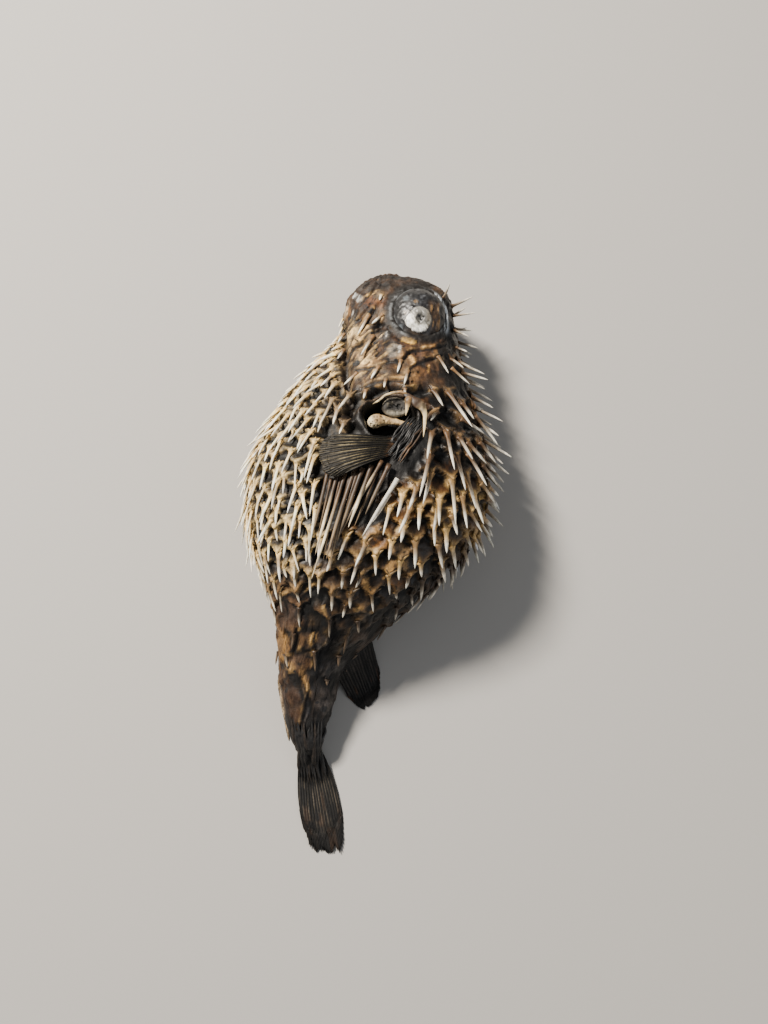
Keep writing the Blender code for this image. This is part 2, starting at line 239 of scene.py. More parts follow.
def cell_of_back(y):
    """Half the space between spines in a row, and the way between rows."""
    head = float(smooth(58, 84, y))
    stalk = float(smooth(-60, -84, y))
    half = mix(mix(5.9, 6, head), 6.8, stalk)
    reach = mix(mix(9.3, 9.6, head), 11.5, stalk)
    return half, reach


def cell_of_belly(y):
    rear = float(smooth(-15, -60, y))
    half = mix(4.8, 6.4, rear)
    reach = mix(5.8, 9.5, rear)
    return half, reach


def strip_of_roots(first, last, start_y, end_y, cell):
    """Staggered rows of roots between two angles, from head to tail."""
    found = []
    distance, row = distance_of(start_y), 0
    turns = np.linspace(first, last, 161)
    while distance < distance_of(end_y):
        y = float(sections_at(np.array((distance,)))[0, 0])
        half, reach = cell(y)
        ring = body_points(np.full(len(turns), distance), turns)
        steps = np.linalg.norm(np.diff(ring, axis=0), axis=1)
        along = np.concatenate(((0,), np.cumsum(steps)))
        count = max(1, round(along[-1] / (2 * half)))
        for k in range(count):
            place = (k + (0.25 if row % 2 else 0.75)) / count
            place += rng.normal(0, 0.13) / count
            angle = np.interp(place * along[-1], along, turns)
            shift = rng.normal(0, 0.15) * reach
            found.append((distance + shift, angle, along[-1] / count / 2, reach))
        distance += reach
        row += 1
    return found


def around_eye(x, y, z):
    """1 at the rim of the eyeball, less towards its middle."""
    reach = np.hypot((x - EYE[0]) / EYE_HALF[0], (y - EYE[1]) / EYE_HALF[1])
    return np.where(np.abs(z - 33) > 12, reach, 9)


def in_gill(x, y, z):
    """Below 1 inside the open gill chamber, on the upper side only."""
    place = np.stack((x, y, z), -1)
    wobble = 0.12 * noise(place, 9, 41) + 0.05 * noise(place, 3, 42)
    reach = np.hypot((x - GILL[0]) / GILL_HALF[0], (y - GILL[1]) / GILL_HALF[1]) + wobble
    return np.where(z > 55, reach, 9)


def axil_band(points):
    """The bare wrinkled band behind the root of the upper pectoral fin."""
    x, y, z = points.T
    along = np.clip(((31 - x) * 16 + (30 - y) * 22) / (16 ** 2 + 22 ** 2), 0, 1)
    off = np.hypot(x - (31 - 16 * along), y - (30 - 22 * along))
    off += 1.2 * noise(points, 6, 14)
    return smooth(9, 5, off) * (z > 60)


def spine_rule(point, angle):
    """Length, lift, lean and thickness of the spine that grows here."""
    y, backward = point[1], math.cos(angle)
    belly = float(smooth(-0.15, -0.5, backward))
    back = float(smooth(0.15, 0.6, backward))
    edge = float(smooth(0.55, 0.9, backward))
    length = mix(mix(16.5, 12, belly), mix(18, 13, edge), back)
    length = mix(length, min(length, 12.5), float(smooth(5, -30, y)))
    lift = mix(mix(19, 15, belly), mix(30, 46, edge), back)
    thick = mix(mix(0.9, 0.74, belly), 1, back)
    nape = float(smooth(45, 62, y))
    length = mix(length, mix(9, 13.5, back), nape)
    lift += 6 * nape * back
    thick = mix(thick, 0.8, nape)
    if y > 84:
        length = mix(5.5, 12, back)
        lift = mix(18, mix(62, 108, float(smooth(98, 112, y))), back)
        thick = 0.72
    rear = float(smooth(-20, -72, y))
    length = mix(length, 7.5, rear)
    lift = mix(lift, 15, float(smooth(-15, -55, y)))
    thick = mix(thick, 0.8, rear)
    if y < -100 or (y < -58 and rng.random() < 0.4):
        length = 0
    flank = float(bump(backward - 0.1, 0.35))
    lean = mix(4, 15, flank) - 12 * back
    if math.sin(angle) < 0:
        lean = -lean
    return length, lift, lean, thick


# Spines that stand by themselves on the upper side of the cheek, the upper
# back and the tail stalk: x and y of the root, length, and heading from
# straight tailward, positive towards the back.
CHEEK_SPINES = (
    (1.5, 99.9, 13.6, -22), (9, 99.8, 8.2, -43), (3.9, 86.4, 15, -23),
    (19, 71, 8.9, -13), (7.1, 67, 9.8, -28), (-4.8, 64.1, 10, -38),
    (10.9, 58.9, 6, -15), (22.7, 64.6, 10.7, -13), (39.6, 75.1, 11.4, 26),
    (47.2, 69.8, 13.2, 41), (21.1, 53.5, 3.8, -7), (0.3, 52.4, 6, -11),
    (-12, 80, 8, -25), (-12.5, 92, 7, -25))
STALK_SPINES = (
    (-27.7, -83, 12, 6), (-18.8, -66.6, 11.3, -3), (-35.3, -60.7, 11.3, 1),
    (-38.6, -73.4, 9.2, -4), (-9.5, -74.3, 12.5, -19), (-10.2, -59.7, 7.5, -17))
BACK_SPINES = (
    (36.6, 53.7, 11.8, 18), (44.8, 53.8, 26, 18), (35, 28.3, 18.5, -18),
    (33.8, 16.1, 27, -18), (43.1, 29.8, 25, -1), (34.2, 6.5, 18.5, -18),
    (28.4, -12.4, 11, -11), (48.2, 17.1, 20.5, 5), (50.1, 28, 14.5, 17),
    (55, 19.3, 19.5, 20), (51.6, 39.5, 14.5, 53), (60.2, 44, 20, 28),
    (61.9, 28.5, 14.5, 29), (54.6, 26.1, 15, 32), (63.3, 18.5, 12, 48),
    (63.2, 15.7, 14.5, 28), (61.8, 5.2, 14.5, 34), (53.6, 6.6, 17.5, 8),
    (45.3, 3.3, 24, -3), (50.8, -4.3, 17, -1), (57.6, -2.7, 15.5, 9),
    (59.5, 51.2, 9, 61), (52.6, 49, 10.5, 24), (37.5, 41.5, 9, -30),
    (26.5, -1.5, 13, -20), (38.5, -7, 14, -8))


def comb_heading(x, y):
    """How the spines of the upper back lie: fanned out from the middle."""
    if x < 43:
        heading = max((x - 43) * 1.2, -22)
    else:
        heading = min((x - 43) * 2.2, 42)
    return heading * mix(1, 0.35, float(smooth(0, -40, y)))


def angle_of(x, y):
    """The angle on the upper side where the body's skin has this x."""
    turns = np.linspace(math.radians(8), math.radians(172), 400)
    ring = body_points(np.full(len(turns), distance_of(y)), turns)
    return float(np.interp(-x, -ring[:, 0], turns))


def skin_at(distance, angle):
    """One point of the body's skin."""
    return body_points(np.array((distance,)), np.array((angle,)))[0]


def placed_by_hand(x, y, z):
    cheek = 54 < y < 106 and -13 < x < 47 and z > UPPER
    back = -8 < y < 58 and x > 24 and z > 50
    stalk = -92 < y < -56 and -44 < x < -8 and z > 35
    return cheek or back or stalk


def under_fin(x, y, z):
    """Where the folded pectoral fin and the long rods cover the skin."""
    fin = -22.5 < x < 19 and 4 < y < 27
    rods = 0.17 * y - 22 < x < 15 + 0.3 * y and -24 < y <= 4
    return z > 55 and (fin or rods)


def grow_roots():
    """Every root, with the spine that stands on it."""
    places = strip_of_roots(-BELLY_ANGLE, BELLY_ANGLE, 112, -128, cell_of_back)
    places += strip_of_roots(BELLY_ANGLE, 2 * math.pi - BELLY_ANGLE, 104, -116, cell_of_belly)
    roots = []
    for distance, angle, half, reach in places:
        point = skin_at(distance, angle)
        if around_eye(*point) < 1.22 or in_gill(*point) < 1.3:
            continue
        if placed_by_hand(*point) or under_fin(*point):
            continue
        if axil_band(point[None])[0] > 0.25:
            continue
        length, lift, lean, thick = spine_rule(point, angle)
        length *= float(np.clip(rng.normal(0.96, 0.24), 0.4, 1.4))
        lift += rng.normal(0, 4.5)
        lean += rng.normal(0, 9)
        thick *= 1 + rng.normal(0, 0.11)
        if 27 < point[1] < 46 and -28 < point[0] < 12:
            length = min(length, max(point[1] - 26, 5))
        kind = BODY
        if point[2] > 45 and math.cos(angle) > 0.1 and -70 < point[1] < 60:
            kind = COMBED
            lean = comb_heading(point[0], point[1]) + rng.normal(0, 8)
            lift = min(lift, 22)
        roots.append((distance, angle, half, reach, length, lift, lean, thick, kind, rng.random()))
    for spines, kind, half, reach, thick in ((CHEEK_SPINES, CHEEK, 6.6, 9, 0.8),
                                             (STALK_SPINES, CHEEK, 7, 12, 0.78),
                                             (BACK_SPINES, COMBED, 6, 10, 1)):
        for x, y, length, heading in spines:
            lift = 11 + 5 * (kind == COMBED) - 4 * (y < -50)
            roots.append((distance_of(y), angle_of(x, y), half, reach, length, lift, heading, thick, kind,
                          rng.random()))
    return np.array(roots)


def grow_rods():
    """The long rods behind the pectoral fin, in two loose layers."""
    rods = []
    for k in range(RODS_ON_SIDE):
        share = k / (RODS_ON_SIDE - 1)
        lower = k % 2
        x = mix(-19, 12.5, share) + rng.normal(0, 0.5)
        y = mix(5, 9, share) + rng.normal(0, 1) - 3 * lower
        length = mix(31, 51, math.sin(math.pi * min(1, share * 1.2)))
        length = length * (1 + rng.normal(0, 0.08)) - 6 * lower
        lean = mix(11, 25, share) + rng.normal(0, 2.2)
        lift = mix(7.5, 2.5, lower) + rng.normal(0, 0.8)
        thick = 0.98 - 0.25 * lower + rng.normal(0, 0.1)
        # the lower layer's rods always stay dark, as painted shade under the upper rods
        luck = 0.15 * lower + 0.85 * rng.random() * (1 - lower)
        rods.append((distance_of(y), angle_of(x, y), 2, 4, length, lift, lean, thick, ROD, luck))
    for x, y, length, lean in ((16, 1.5, 34, 32), (12.2, -5.5, 16, 28)):
        rods.append((distance_of(y), angle_of(x, y), 2, 4, length, 8.5, lean, 0.98, PALE_ROD, 0.9))
    return np.array(rods)


def flow_of(point, tail, out):
    """The way the spines lie: along the body in front, tailward behind."""
    back = np.array((0, -1, 0)) + out * out[:, 1:2]
    front = smooth(-5, 38, point[:, 1])[:, None]
    flow = unit(mix(unit(back), tail, front))
    return flow, unit(np.cross(flow, out))


ROOTS = grow_roots()
RODS = grow_rods()
ROOT_POINT, ROOT_TAIL, ROOT_SIDE, ROOT_OUT = frames(ROOTS[:, AT], ROOTS[:, ANGLE])
ROOT_TAIL, ROOT_SIDE = flow_of(ROOT_POINT, ROOT_TAIL, ROOT_OUT)


# ---------------- skin relief

def arch_of(roots):
    """How far the arms of a root sweep forward, to the middle of a gap."""
    return 0.42 * roots[:, REACH]


def creep(points):
    """A slow wandering of the folds, so that no two are alike."""
    slow = np.stack([noise(points, 9, 20 + k) for k in range(3)], -1)
    quick = np.stack([noise(points, 4, 25 + k) for k in range(3)], -1)
    return 1.9 * slow + 0.8 * quick


def scallops(points, outward):
    """Folds between the roots: shelf height, pale rim, tent and owner."""
    count = len(points)
    shelf, rim, tent = np.zeros(count), np.zeros(count), np.zeros(count)
    owner = np.zeros(count, int)
    arch, half, reach = arch_of(ROOTS), ROOTS[:, HALF], ROOTS[:, REACH]
    back = smooth(-0.2, 0.3, np.cos(ROOTS[:, ANGLE]))
    cheek = ROOTS[:, KIND] == CHEEK
    drifting = points + creep(points)
    drifted = ROOT_POINT + creep(ROOT_POINT)
    numbers = np.arange(len(ROOTS))
    for start in range(0, count, BLOCK):
        block = slice(start, start + BLOCK)
        here = drifting[block]
        low, high = here[:, 1].min() - 26, here[:, 1].max() + 26
        near = (ROOT_POINT[:, 1] > low) & (ROOT_POINT[:, 1] < high)
        if not near.any():
            continue
        away = here[:, None, :] - drifted[near][None]
        behind = (away * ROOT_TAIL[near]).sum(-1)
        beside = np.abs((away * ROOT_SIDE[near]).sum(-1))
        depth = np.abs((away * ROOT_OUT[near]).sum(-1))
        facing = outward[block] @ ROOT_OUT[near].T
        a, h, r = arch[near], half[near], reach[near]
        u = beside / h
        edge = -a * np.sin(np.pi / 2 * np.minimum(u, 1))
        ahead = edge - behind
        run = np.maximum(r + a + 2 * edge, 0.45 * r)
        rise = 1 - np.clip(ahead / run, 0, 1) ** 1.35
        drop = 1 + ahead / 1.1
        height = np.where(ahead >= 0, rise, np.clip(drop, 0, 1))
        window = smooth(1.3, 0.98, u) * (depth < 13) * (facing > 0.25)
        height *= window
        best = height.argmax(1)
        shelf[block] = height.max(1)
        owner[block] = numbers[near][best]
        size = h / 7
        spread = mix(2.5, 0.7, np.minimum(u, 1) ** 0.5) * size
        line = bump(ahead - 0.55 * spread, spread)
        fade = mix(0.12, 0.08, back[near])
        line = line * mix(1, fade, np.minimum(u, 1) ** 0.6) * window
        stem = bump(beside, 0.75) * smooth(-0.62 * r, -0.2 * r, behind)
        stem = stem * smooth(1.2, 0, behind) * window
        stem *= 1 - back[near]
        line = np.maximum(line, stem * 0.9) * np.where(cheek[near], 0.35, 1)
        rim[block] = line.max(1)
        peak = bump(np.hypot(behind * 0.75, beside * 0.85), 2.8 * size) * window
        tent[block] = (peak * np.where(cheek[near], 0.5, 1)).max(1)
    return shelf, rim, tent, owner


def pocket_depth(points, backward):
    y = points[:, 1]
    belly = smooth(-0.3, -0.6, backward)
    deep = mix(3.9, 2.3, belly)
    deep = mix(deep, 1.25, smooth(50, 66, y))
    deep = mix(deep, 0.3, smooth(104, 118, y))
    deep = mix(deep, 1.7, smooth(-42, -62, y))
    deep = mix(deep, 0.5, smooth(-62, -84, y))
    pressed = smooth(9, 2, points[:, 2])
    return mix(deep, 1.1, pressed)


def strands(points, heading, across, along, seed):
    """Fine folds that run one way over the skin, from -1 to 1."""
    turn = math.radians(heading)
    run = points[:, 1] * math.cos(turn) + points[:, 0] * math.sin(turn)
    off = points[:, 0] * math.cos(turn) - points[:, 1] * math.sin(turn)
    place = np.stack((off, run, points[:, 2]), -1)
    place += 1.1 * noise(points, 8, seed + 3)[:, None]
    return noise(place, (across, along, across * 2), seed)


def eye_reach(points):
    """Distance from each eye's middle, 1 at the rim, in its tilted plane."""
    best = np.full(len(points), 9)
    for z, tilt, sign in ((EYE_Z["eye_left"], -EYE_TILT, 1), (EYE_Z["eye_right"], EYE_TILT, -1)):
        local = points - np.array((EYE[0], EYE[1], z))
        turn = math.radians(tilt)
        ly = local[:, 1] * math.cos(turn) + local[:, 2] * math.sin(turn)
        lz = -local[:, 1] * math.sin(turn) + local[:, 2] * math.cos(turn)
        reach = np.hypot(local[:, 0] / EYE_HALF[0], ly / EYE_HALF[1])
        best = np.minimum(best, np.where(lz * sign > -9, reach, 9))
    return best


def mouth_reach(points):
    """Distance from the middle of the mouth, 1 on the inner lip."""
    x, y, z = points.T
    reach = np.hypot((x - MOUTH[0]) / 5.4, (z - MOUTH[1]) / 11)
    return np.where(y > 112, reach, 9)


# Overlapping folds of the cheek, each as the x and y of a bent line; the
# skin on the snout side of a line lies over the skin behind it.
CHEEK_FOLDS = (
    ((21.3, 73.8), (22.5, 76), (25.2, 77.7), (31.4, 79), (38.6, 80.9),
     (42.6, 82.8)),
    ((-4.8, 65.8), (-2.5, 66.9), (2.9, 67), (7.1, 67.6), (10.5, 69.6),
     (14, 70.5), (18.2, 70.8), (20.1, 72.7)),
    ((22.7, 62.4), (23.5, 66.4), (26.6, 69.5), (31.3, 71.8), (39.3, 75.9)),
    ((0.7, 56.8), (3.7, 57.8), (10.5, 59.2), (15.8, 59.5), (21.2, 59.5)),
    ((0.5, 52), (5.5, 55.6), (11.5, 56.2), (21.5, 54), (30, 55),
     (37, 53.6)),
    ((3.7, 90), (4, 93), (6.6, 95), (10.4, 95.2), (12, 93)),
    ((-4, 81), (-1, 86), (1.5, 88.6), (5.5, 90.4)),
    ((-1.5, 93), (1.2, 98), (4, 103)),
    ((-10, 74), (-7, 79), (-2.5, 82.5)))


def across_fold(x, y, line):
    """Distance from a bent line, positive on its snout side."""
    best = np.full(len(x), 99)
    for (x0, y0), (x1, y1) in zip(line[:-1], line[1:]):
        dx, dy = x1 - x0, y1 - y0
        size = math.hypot(dx, dy)
        share = np.clip(((x - x0) * dx + (y - y0) * dy) / size ** 2, 0, 1)
        off_x, off_y = x - x0 - share * dx, y - y0 - share * dy
        away = np.hypot(off_x, off_y)
        side = np.where(dx * off_y - dy * off_x >= 0, 1, -1)
        best = np.where(away < abs(best), away * side, best)
    return best


# Edges of the tail stalk's folds, drawn the same way
STALK_FOLDS = (
    ((-48.5, -101), (-43.3, -95), (-38.5, -93.1), (-34.9, -97.8),
     (-32.1, -104.9)),
    ((-41.7, -84.8), (-35.4, -82.8), (-28.5, -80.7)),
    ((-27, -95), (-27.9, -82), (-28.3, -72.6)),
    ((-39.3, -81), (-38, -74.5), (-34.6, -71.8), (-28.2, -71.8),
     (-23.4, -73.1)),
    ((-19.9, -76.9), (-18.2, -66), (-21.2, -61)),
    ((-19.5, -76.5), (-17, -68.5), (-10.3, -64.7), (-1.9, -62.1),
     (3.3, -64.4)),
    ((-14.5, -85.8), (-9.3, -75.9), (-6.5, -70.8)),
    ((-24.6, -82.9), (-20, -78.2), (-14.7, -78.9)),
    ((-37.5, -131), (-36.3, -122.9), (-33.3, -112.1), (-32.1, -104.9)),
    ((-47, -56), (-41, -53), (-34, -55.5)),
    ((-34, -55.5), (-27, -51.5), (-20, -55)))


def edges_of(points, folds, wide):
    """Height of the folds, with their dark line of painted shadow, and their pale lip and shine of
    painted highlight.
    """
    x, y = points[:, :2].T
    wander = 0.5 * noise(points, 3.5, 18)
    height, line, lip, shine = np.zeros((4, len(x)))
    for fold in folds:
        away = across_fold(x + wander, y + wander, fold) / wide
        over = 0.8 * np.exp(-np.maximum(away, 0) / 3.6)
        under = -0.9 * np.exp(np.minimum(away, 0) / 2)
        near = abs(away) < 14
        height += np.where(near, mix(under, over, smooth(-0.9, 0.9, away)), 0)
        shine = np.maximum(shine, np.where(away > 0, np.exp(-away / 2.4), 0))
        line = np.maximum(line, bump(away + 0.55, 0.75))
        lip = np.maximum(lip, bump(away - 0.95, 0.65))
    return height, line, lip, shine


def skin_folds(points):
    """The folds of the cheek and of the tail stalk, on the upper side."""
    cheek = edges_of(points, CHEEK_FOLDS, 1)
    stalk = edges_of(points, STALK_FOLDS, 1.25)
    on_cheek = (points[:, 2] > 40) & (points[:, 1] > 40)
    on_stalk = (points[:, 2] > 12) & (points[:, 1] < -44)
    return [a * on_cheek + b * on_stalk for a, b in zip(cheek, stalk)]


def throat_crease(points):
    """The long sharp crease between the cheek and the belly."""
    x, y, z = points.T
    crease_x = -12.4 + 0.085 * (94 - y) + 0.8 * noise(points, 9, 19)
    crease = bump(x - crease_x, 1.9) * smooth(26, 38, y)
    return crease * smooth(106, 96, y) * (z > UPPER), x - crease_x


def skin_features(points):
    """Offsets along the normal, in millimetres, and the masks they use."""
    x, y, z = points.T
    upper = z > UPPER
    offset = np.zeros(len(points))
    gill = in_gill(x, y, z)
    offset -= GILL_DEPTH * smooth(1.03, 0.78, gill)
    lip = bump(gill - 1.1, 0.08)
    offset += lip * mix(0.3, 0.8, smooth(34, 44, y))
    eye = eye_reach(points)
    offset -= 4 * smooth(0.82, 0.7, eye)
    lid = bump(eye - 1, 0.1) * mix(1, 0.45, smooth(100, 110, y))
    offset += 0.8 * lid
    offset -= 0.7 * bump(eye - 1.19, 0.06) * (0.6 + 0.4 * noise(points, 6, 3))
    offset += 0.6 * bump(eye - 1.35, 0.09) * noise(points, 7, 5)
    band = axil_band(points)
    offset += band * (0.35 * noise(points, 2.6, 11) - 2.2)
    mouth = mouth_reach(points)
    spin = np.arctan2(z - MOUTH[1], x - MOUTH[0])
    offset += bump(mouth - 1.28, 0.24)
    offset -= 6 * smooth(1.05, 0.72, mouth)
    pucker = np.sin(spin * 17 + 1.3 * noise(points, 8, 6))
    offset += 0.28 * pucker * bump(mouth - 1.6, 0.55)
    crease, beyond = throat_crease(points)
    offset -= 2.8 * crease
    strap = smooth(50, 70, y) * smooth(106, 96, y) * upper
    offset += 1.2 * bump(beyond - 5, 3.2) * strap
    head = smooth(48, 66, y) * smooth(1.1, 1.3, eye)
    folds, line, lip, shine = skin_folds(points)
    offset += folds
    jowl = smooth(17, 6, x) * smooth(64, 74, y) * upper
    slant = strands(points, 40, 1.25, 9, 44)
    offset += 0.8 * slant * head * jowl
    band_y = smooth(104, 112, y) * smooth(1.2, 1.5, eye)
    offset += 0.4 * strands(points, 98, 1.3, 11, 45) * band_y
    neck = bump(x + 9, 11) * bump(y - 56, 24) * upper
    offset += 0.55 * strands(points, -4, 1.3, 12, 46) * neck
    stalk = smooth(-78, -90, y) * smooth(-134, -122, y)
    offset += strands(points, 12, 4.2, 20, 86) * stalk
    brow_lines = np.sin(x * 2.4 + 1.2 * noise(points, 8, 17))
    brow = bump(x - 43.5, 4.5) * bump(y - 101, 15) * smooth(0.95, 1.1, eye)
    offset += 0.35 * brow_lines * brow
    for bx, by, size, high in ((10.1, 87.1, 3, 1.6), (15.5, 77.2, 4.6, 0.8), (7.4, 93.8, 2.3, -1.8),
                               (-3, 78, 5, 0.8), (4, 50.2, 3.6, -1.5), (13, 66.5, 4.5, 0.7),
                               (-3.5, 104.5, 4, 0.9), (6, 106.5, 4, 0.7)):
        offset += high * bump(np.hypot(x - bx, y - by), size) * upper
    crack = smooth(0.12, 0.03, abs(strands(points, 38, 3.2, 8, 95)))
    crack = crack * smooth(58, 66, y) * smooth(1.15, 1.3, eye)
    along = smooth(0.1, 0.02, abs(strands(points, 10, 3.4, 16, 96)))
    crack = np.maximum(crack, along * smooth(-56, -70, y))
    offset -= 0.38 * crack
    masks = SimpleNamespace(gill=gill, eye=eye, band=band, mouth=mouth, crease=crease, line=line,
                            slant=slant, lip=lip, shine=shine, crack=crack)
    return offset, masks


def skin_surface(distance, angle):
    """The finished skin's points, with the masks that its colours follow."""
    point, _, _, out = frames(distance, angle)
    backward = np.cos(angle)
    shelf, rim, tent, owner = scallops(point, out)
    offset, masks = skin_features(point)
    deep = pocket_depth(point, backward)
    calm = smooth(1.02, 1.25, masks.gill) * (1 - masks.band)
    calm *= smooth(1.05, 1.3, masks.eye)
    calm *= smooth(1.5, 2.2, masks.mouth)
    x, y, z = point.T
    cheek = smooth(54, 60, y) * smooth(-15, -10, x) * smooth(46, 41, x) * (z > UPPER)
    calm *= 1 - cheek
    offset -= calm * deep * (1 - shelf)
    offset += calm * (0.5 * rim + 1.3 * tent) * smooth(0.5, 2, deep)
    offset += 0.6 * tent * cheek
    soft = smooth(2, 9, z)
    offset += soft * 0.9 * rough(point, 24, 2) - 0.6 * soft
    offset += 0.34 * noise(point, (2.6, 6, 2.6), 4)
    wrinkle = 1 - 2 * np.abs(noise(point, (4.5, 3.2, 4.5), 10))
    offset += 0.42 * wrinkle * calm * smooth(0.2, 0.6, shelf)
    offset += 0.22 * noise(point, 1.5, 9)
    moved = point + out * offset[:, None]
    moved[:, 2] = np.maximum(moved[:, 2], SKIN_FLOOR - 0.3)
    vars(masks).update(shelf=shelf, rim=rim * calm, tent=tent, calm=calm, owner=owner, cheek=cheek,
                       backward=backward)
    return moved, masks


# ---------------- skin colours

def plain(shade, count):
    """The same colour, given in thousandths, at every point."""
    return np.tile(np.array(shade) / 1000, (count, 1))


def tint(colour, other, weight):
    """Lay a colour over the colours of the points, more where weight is high."""
    if isinstance(other, tuple):
        other = np.array(other) / 1000
    colour += (other - colour) * weight[:, None]


def shaded_flank(x, y, backward):
    """1 on the lower rear flank of the upper side, where painted shade makes it nearly black."""
    past = y + 50 - 0.7 * (x - 19)
    flank = smooth(4, -5, past) * smooth(0.1, 0.35, backward)
    return flank * mix(0.35, 1, smooth(-92, -76, y))


def beside_gill(x, y, z):
    """1 on the worn, grey-brown skin between the gill and the belly."""
    inside = bump((x + 13) / 1.1, 10) * bump(y - 41, 15)
    return np.clip(inside * 1.4, 0, 1) * (z > 55)


def skin_colours(points, masks):
    """Colour of every point of the skin, from zones along the body."""
    x, y, z = points.T
    count = len(points)
    backward, shelf = masks.backward, masks.shelf
    patch = rough(points, 17, 30)
    fleck = noise(points, 5, 31)
    grit = noise(points, 1.8, 32)
    luck = ROOTS[masks.owner, LUCK] + 0.12 * fleck
    belly = smooth(0, -0.42, backward + 0.1 * patch)
    back = smooth(0.05, 0.5, backward + 0.12 * patch)

    dome = plain((62, 34, 16), count)
    tint(dome, (31, 25, 20), belly)
    amber = np.clip(1.25 * bump(np.hypot((x - 14) / 1.1, y + 30), 26), 0, 1)
    tint(dome, (120, 58, 22), smooth(0.5, 0.8, luck) * (1 - belly))
    tint(dome, (250, 148, 70), amber * 0.85 * (1 - belly))
    tint(dome, (360, 180, 55), smooth(0.48, 0.8, luck) * (1 - belly) * amber)
    tint(dome, (16, 13, 11), smooth(0.5, 0.3, luck) * (1 - 0.45 * belly) * (1 - 0.85 * amber))
    tint(dome, (72, 83, 95), smooth(0.6, 0.85, luck) * belly)
    tint(dome, (360, 245, 115), belly * smooth(0.1, 0.6, fleck) * 0.3)
    # painted shade: the pockets behind the folds are near black
    pit = plain((4, 3, 3), count)
    tint(pit, (13, 11, 10), belly)
    rim = plain((620, 440, 210), count)
    tint(rim, (880, 690, 370), belly)
    tint(rim, (820, 580, 260), back)

    rear = smooth(-14, -60, y + 9 * patch - 16 * back + 8 * belly)
    tint(dome, (46, 30, 19), rear * smooth(1.2, 0.6, luck))
    tint(rim, (230, 138, 64), rear * 0.88)
    stalk = smooth(-64, -82, y)
    under = stalk * smooth(0.2, -0.5, backward) * smooth(-112, -94, y)
    tint(dome, (100, 58, 29), stalk * 0.9)
    tint(rim, (500, 340, 150), under * 0.6)
    coal = stalk * smooth(-3, 4, x + 31 - 0.2 * (y + 90) + 4 * fleck)
    coal = np.maximum(coal, smooth(-118, -130, y))
    tint(dome, (46, 46, 50), coal * 0.94)
    tint(dome, (160, 142, 130), coal * smooth(0.1, 0.6, fleck + 0.5 * grit) * 0.8)
    tint(rim, (60, 52, 46), coal * 0.9)

    nape = smooth(-4, 14, y) * smooth(0.12, 0.42, backward)
    streak = strands(points, 0, 1.6, 8, 85)
    tint(dome, (18, 15, 13), nape * 0.9)
    tint(dome, (125, 62, 24), nape * smooth(0.25, 0.6, streak) * smooth(0.35, 0.75, luck) * 0.8)
    tint(dome, (24, 31, 42), nape * smooth(0.15, 0.6, fleck) * 0.8)
    tint(rim, (190, 118, 58), nape * 0.85)
    # painted shade: the lower rear flank goes near black, and a few domes stay brown
    shadow = shaded_flank(x, y + 4 * fleck, backward)
    tint(dome, (20, 16, 14), shadow * 0.92)
    tint(dome, (95, 58, 36), shadow * smooth(0.42, 0.7, luck) * 0.85)
    tint(rim, (75, 52, 34), shadow * 0.85)
    low_belly = smooth(-36, -52, y + 6 * fleck) * belly
    tint(dome, (74, 43, 26), low_belly * 0.85)
    tint(rim, (330, 200, 95), low_belly * 0.8)
    neck = smooth(22, 34, y) * smooth(76, 62, y) * smooth(-0.34, 0, backward) * (1 - nape)
    tint(dome, (50, 31, 20), neck * 0.8)
    tint(rim, (190, 126, 70), neck * 0.7)

    worn = beside_gill(x + 3 * fleck, y, z)
    tint(dome, (36, 28, 23), worn * 0.8)
    tint(rim, (270, 195, 120), worn * 0.8)

    low = smooth(0.05, 0.5, shelf)
    calm = masks.calm
    # painted shade: the pockets take the near-black colour, and the domes darken towards them
    colour = mix(pit, dome, mix(1, low, calm)[:, None])
    colour *= mix(1, mix(0.45, 1, smooth(0.35, 0.95, shelf)), calm * (1 - 0.7 * stalk))[:, None]
    tint(colour, rim, smooth(0.72, 1, shelf) * calm * 0.2 * (1 - stalk))
    sheath = smooth(0, 0.6, masks.tent + 0.18 * fleck - mix(0.25, 0.42, belly)) * 0.85
    sheath = sheath * calm * (1 - 0.8 * stalk) * (1 - 0.7 * nape)
    tint(colour, rim, sheath)
    pale = np.clip(masks.rim * 1.15, 0, 1) * mix(0.9, 0.15, stalk)
    pale *= 1 - 0.35 * smooth(0.2, 0.8, grit)
    tint(colour, rim, pale)
    head_colours(colour, points, masks)

    crease = masks.crease
    # painted shade in the throat crease
    tint(colour, (18, 12, 9), crease * 0.92)
    strap = bump(masks.gill - 1.12, 0.09) * smooth(36, 46, y)
    tint(colour, (220, 150, 85), strap * 0.7)
    # darker round the tailward half of the open gill
    gill_edge_dark = smooth(1.42, 1.12, masks.gill) * smooth(46, 36, y)
    tint(colour, (14, 13, 13), gill_edge_dark * 0.95)
    # painted shade inside the open gill chamber
    tint(colour, (6, 5, 5), smooth(1.06, 0.94, masks.gill))
    tint(colour, (11, 11, 12), masks.band * 0.96)
    # painted shade on the skin under the folded fin and the rods, so that the gaps between them look dark
    shade_under_fin = bump(x + 4, 22) * bump(y - 2, 22) * (z > 60)
    tint(colour, (12, 8, 6), np.clip(shade_under_fin * 1.5, 0, 1) * 0.9 * (1 - 0.6 * masks.rim))
    return np.clip(colour * (1 + 0.16 * patch)[:, None], 0.002, 1)


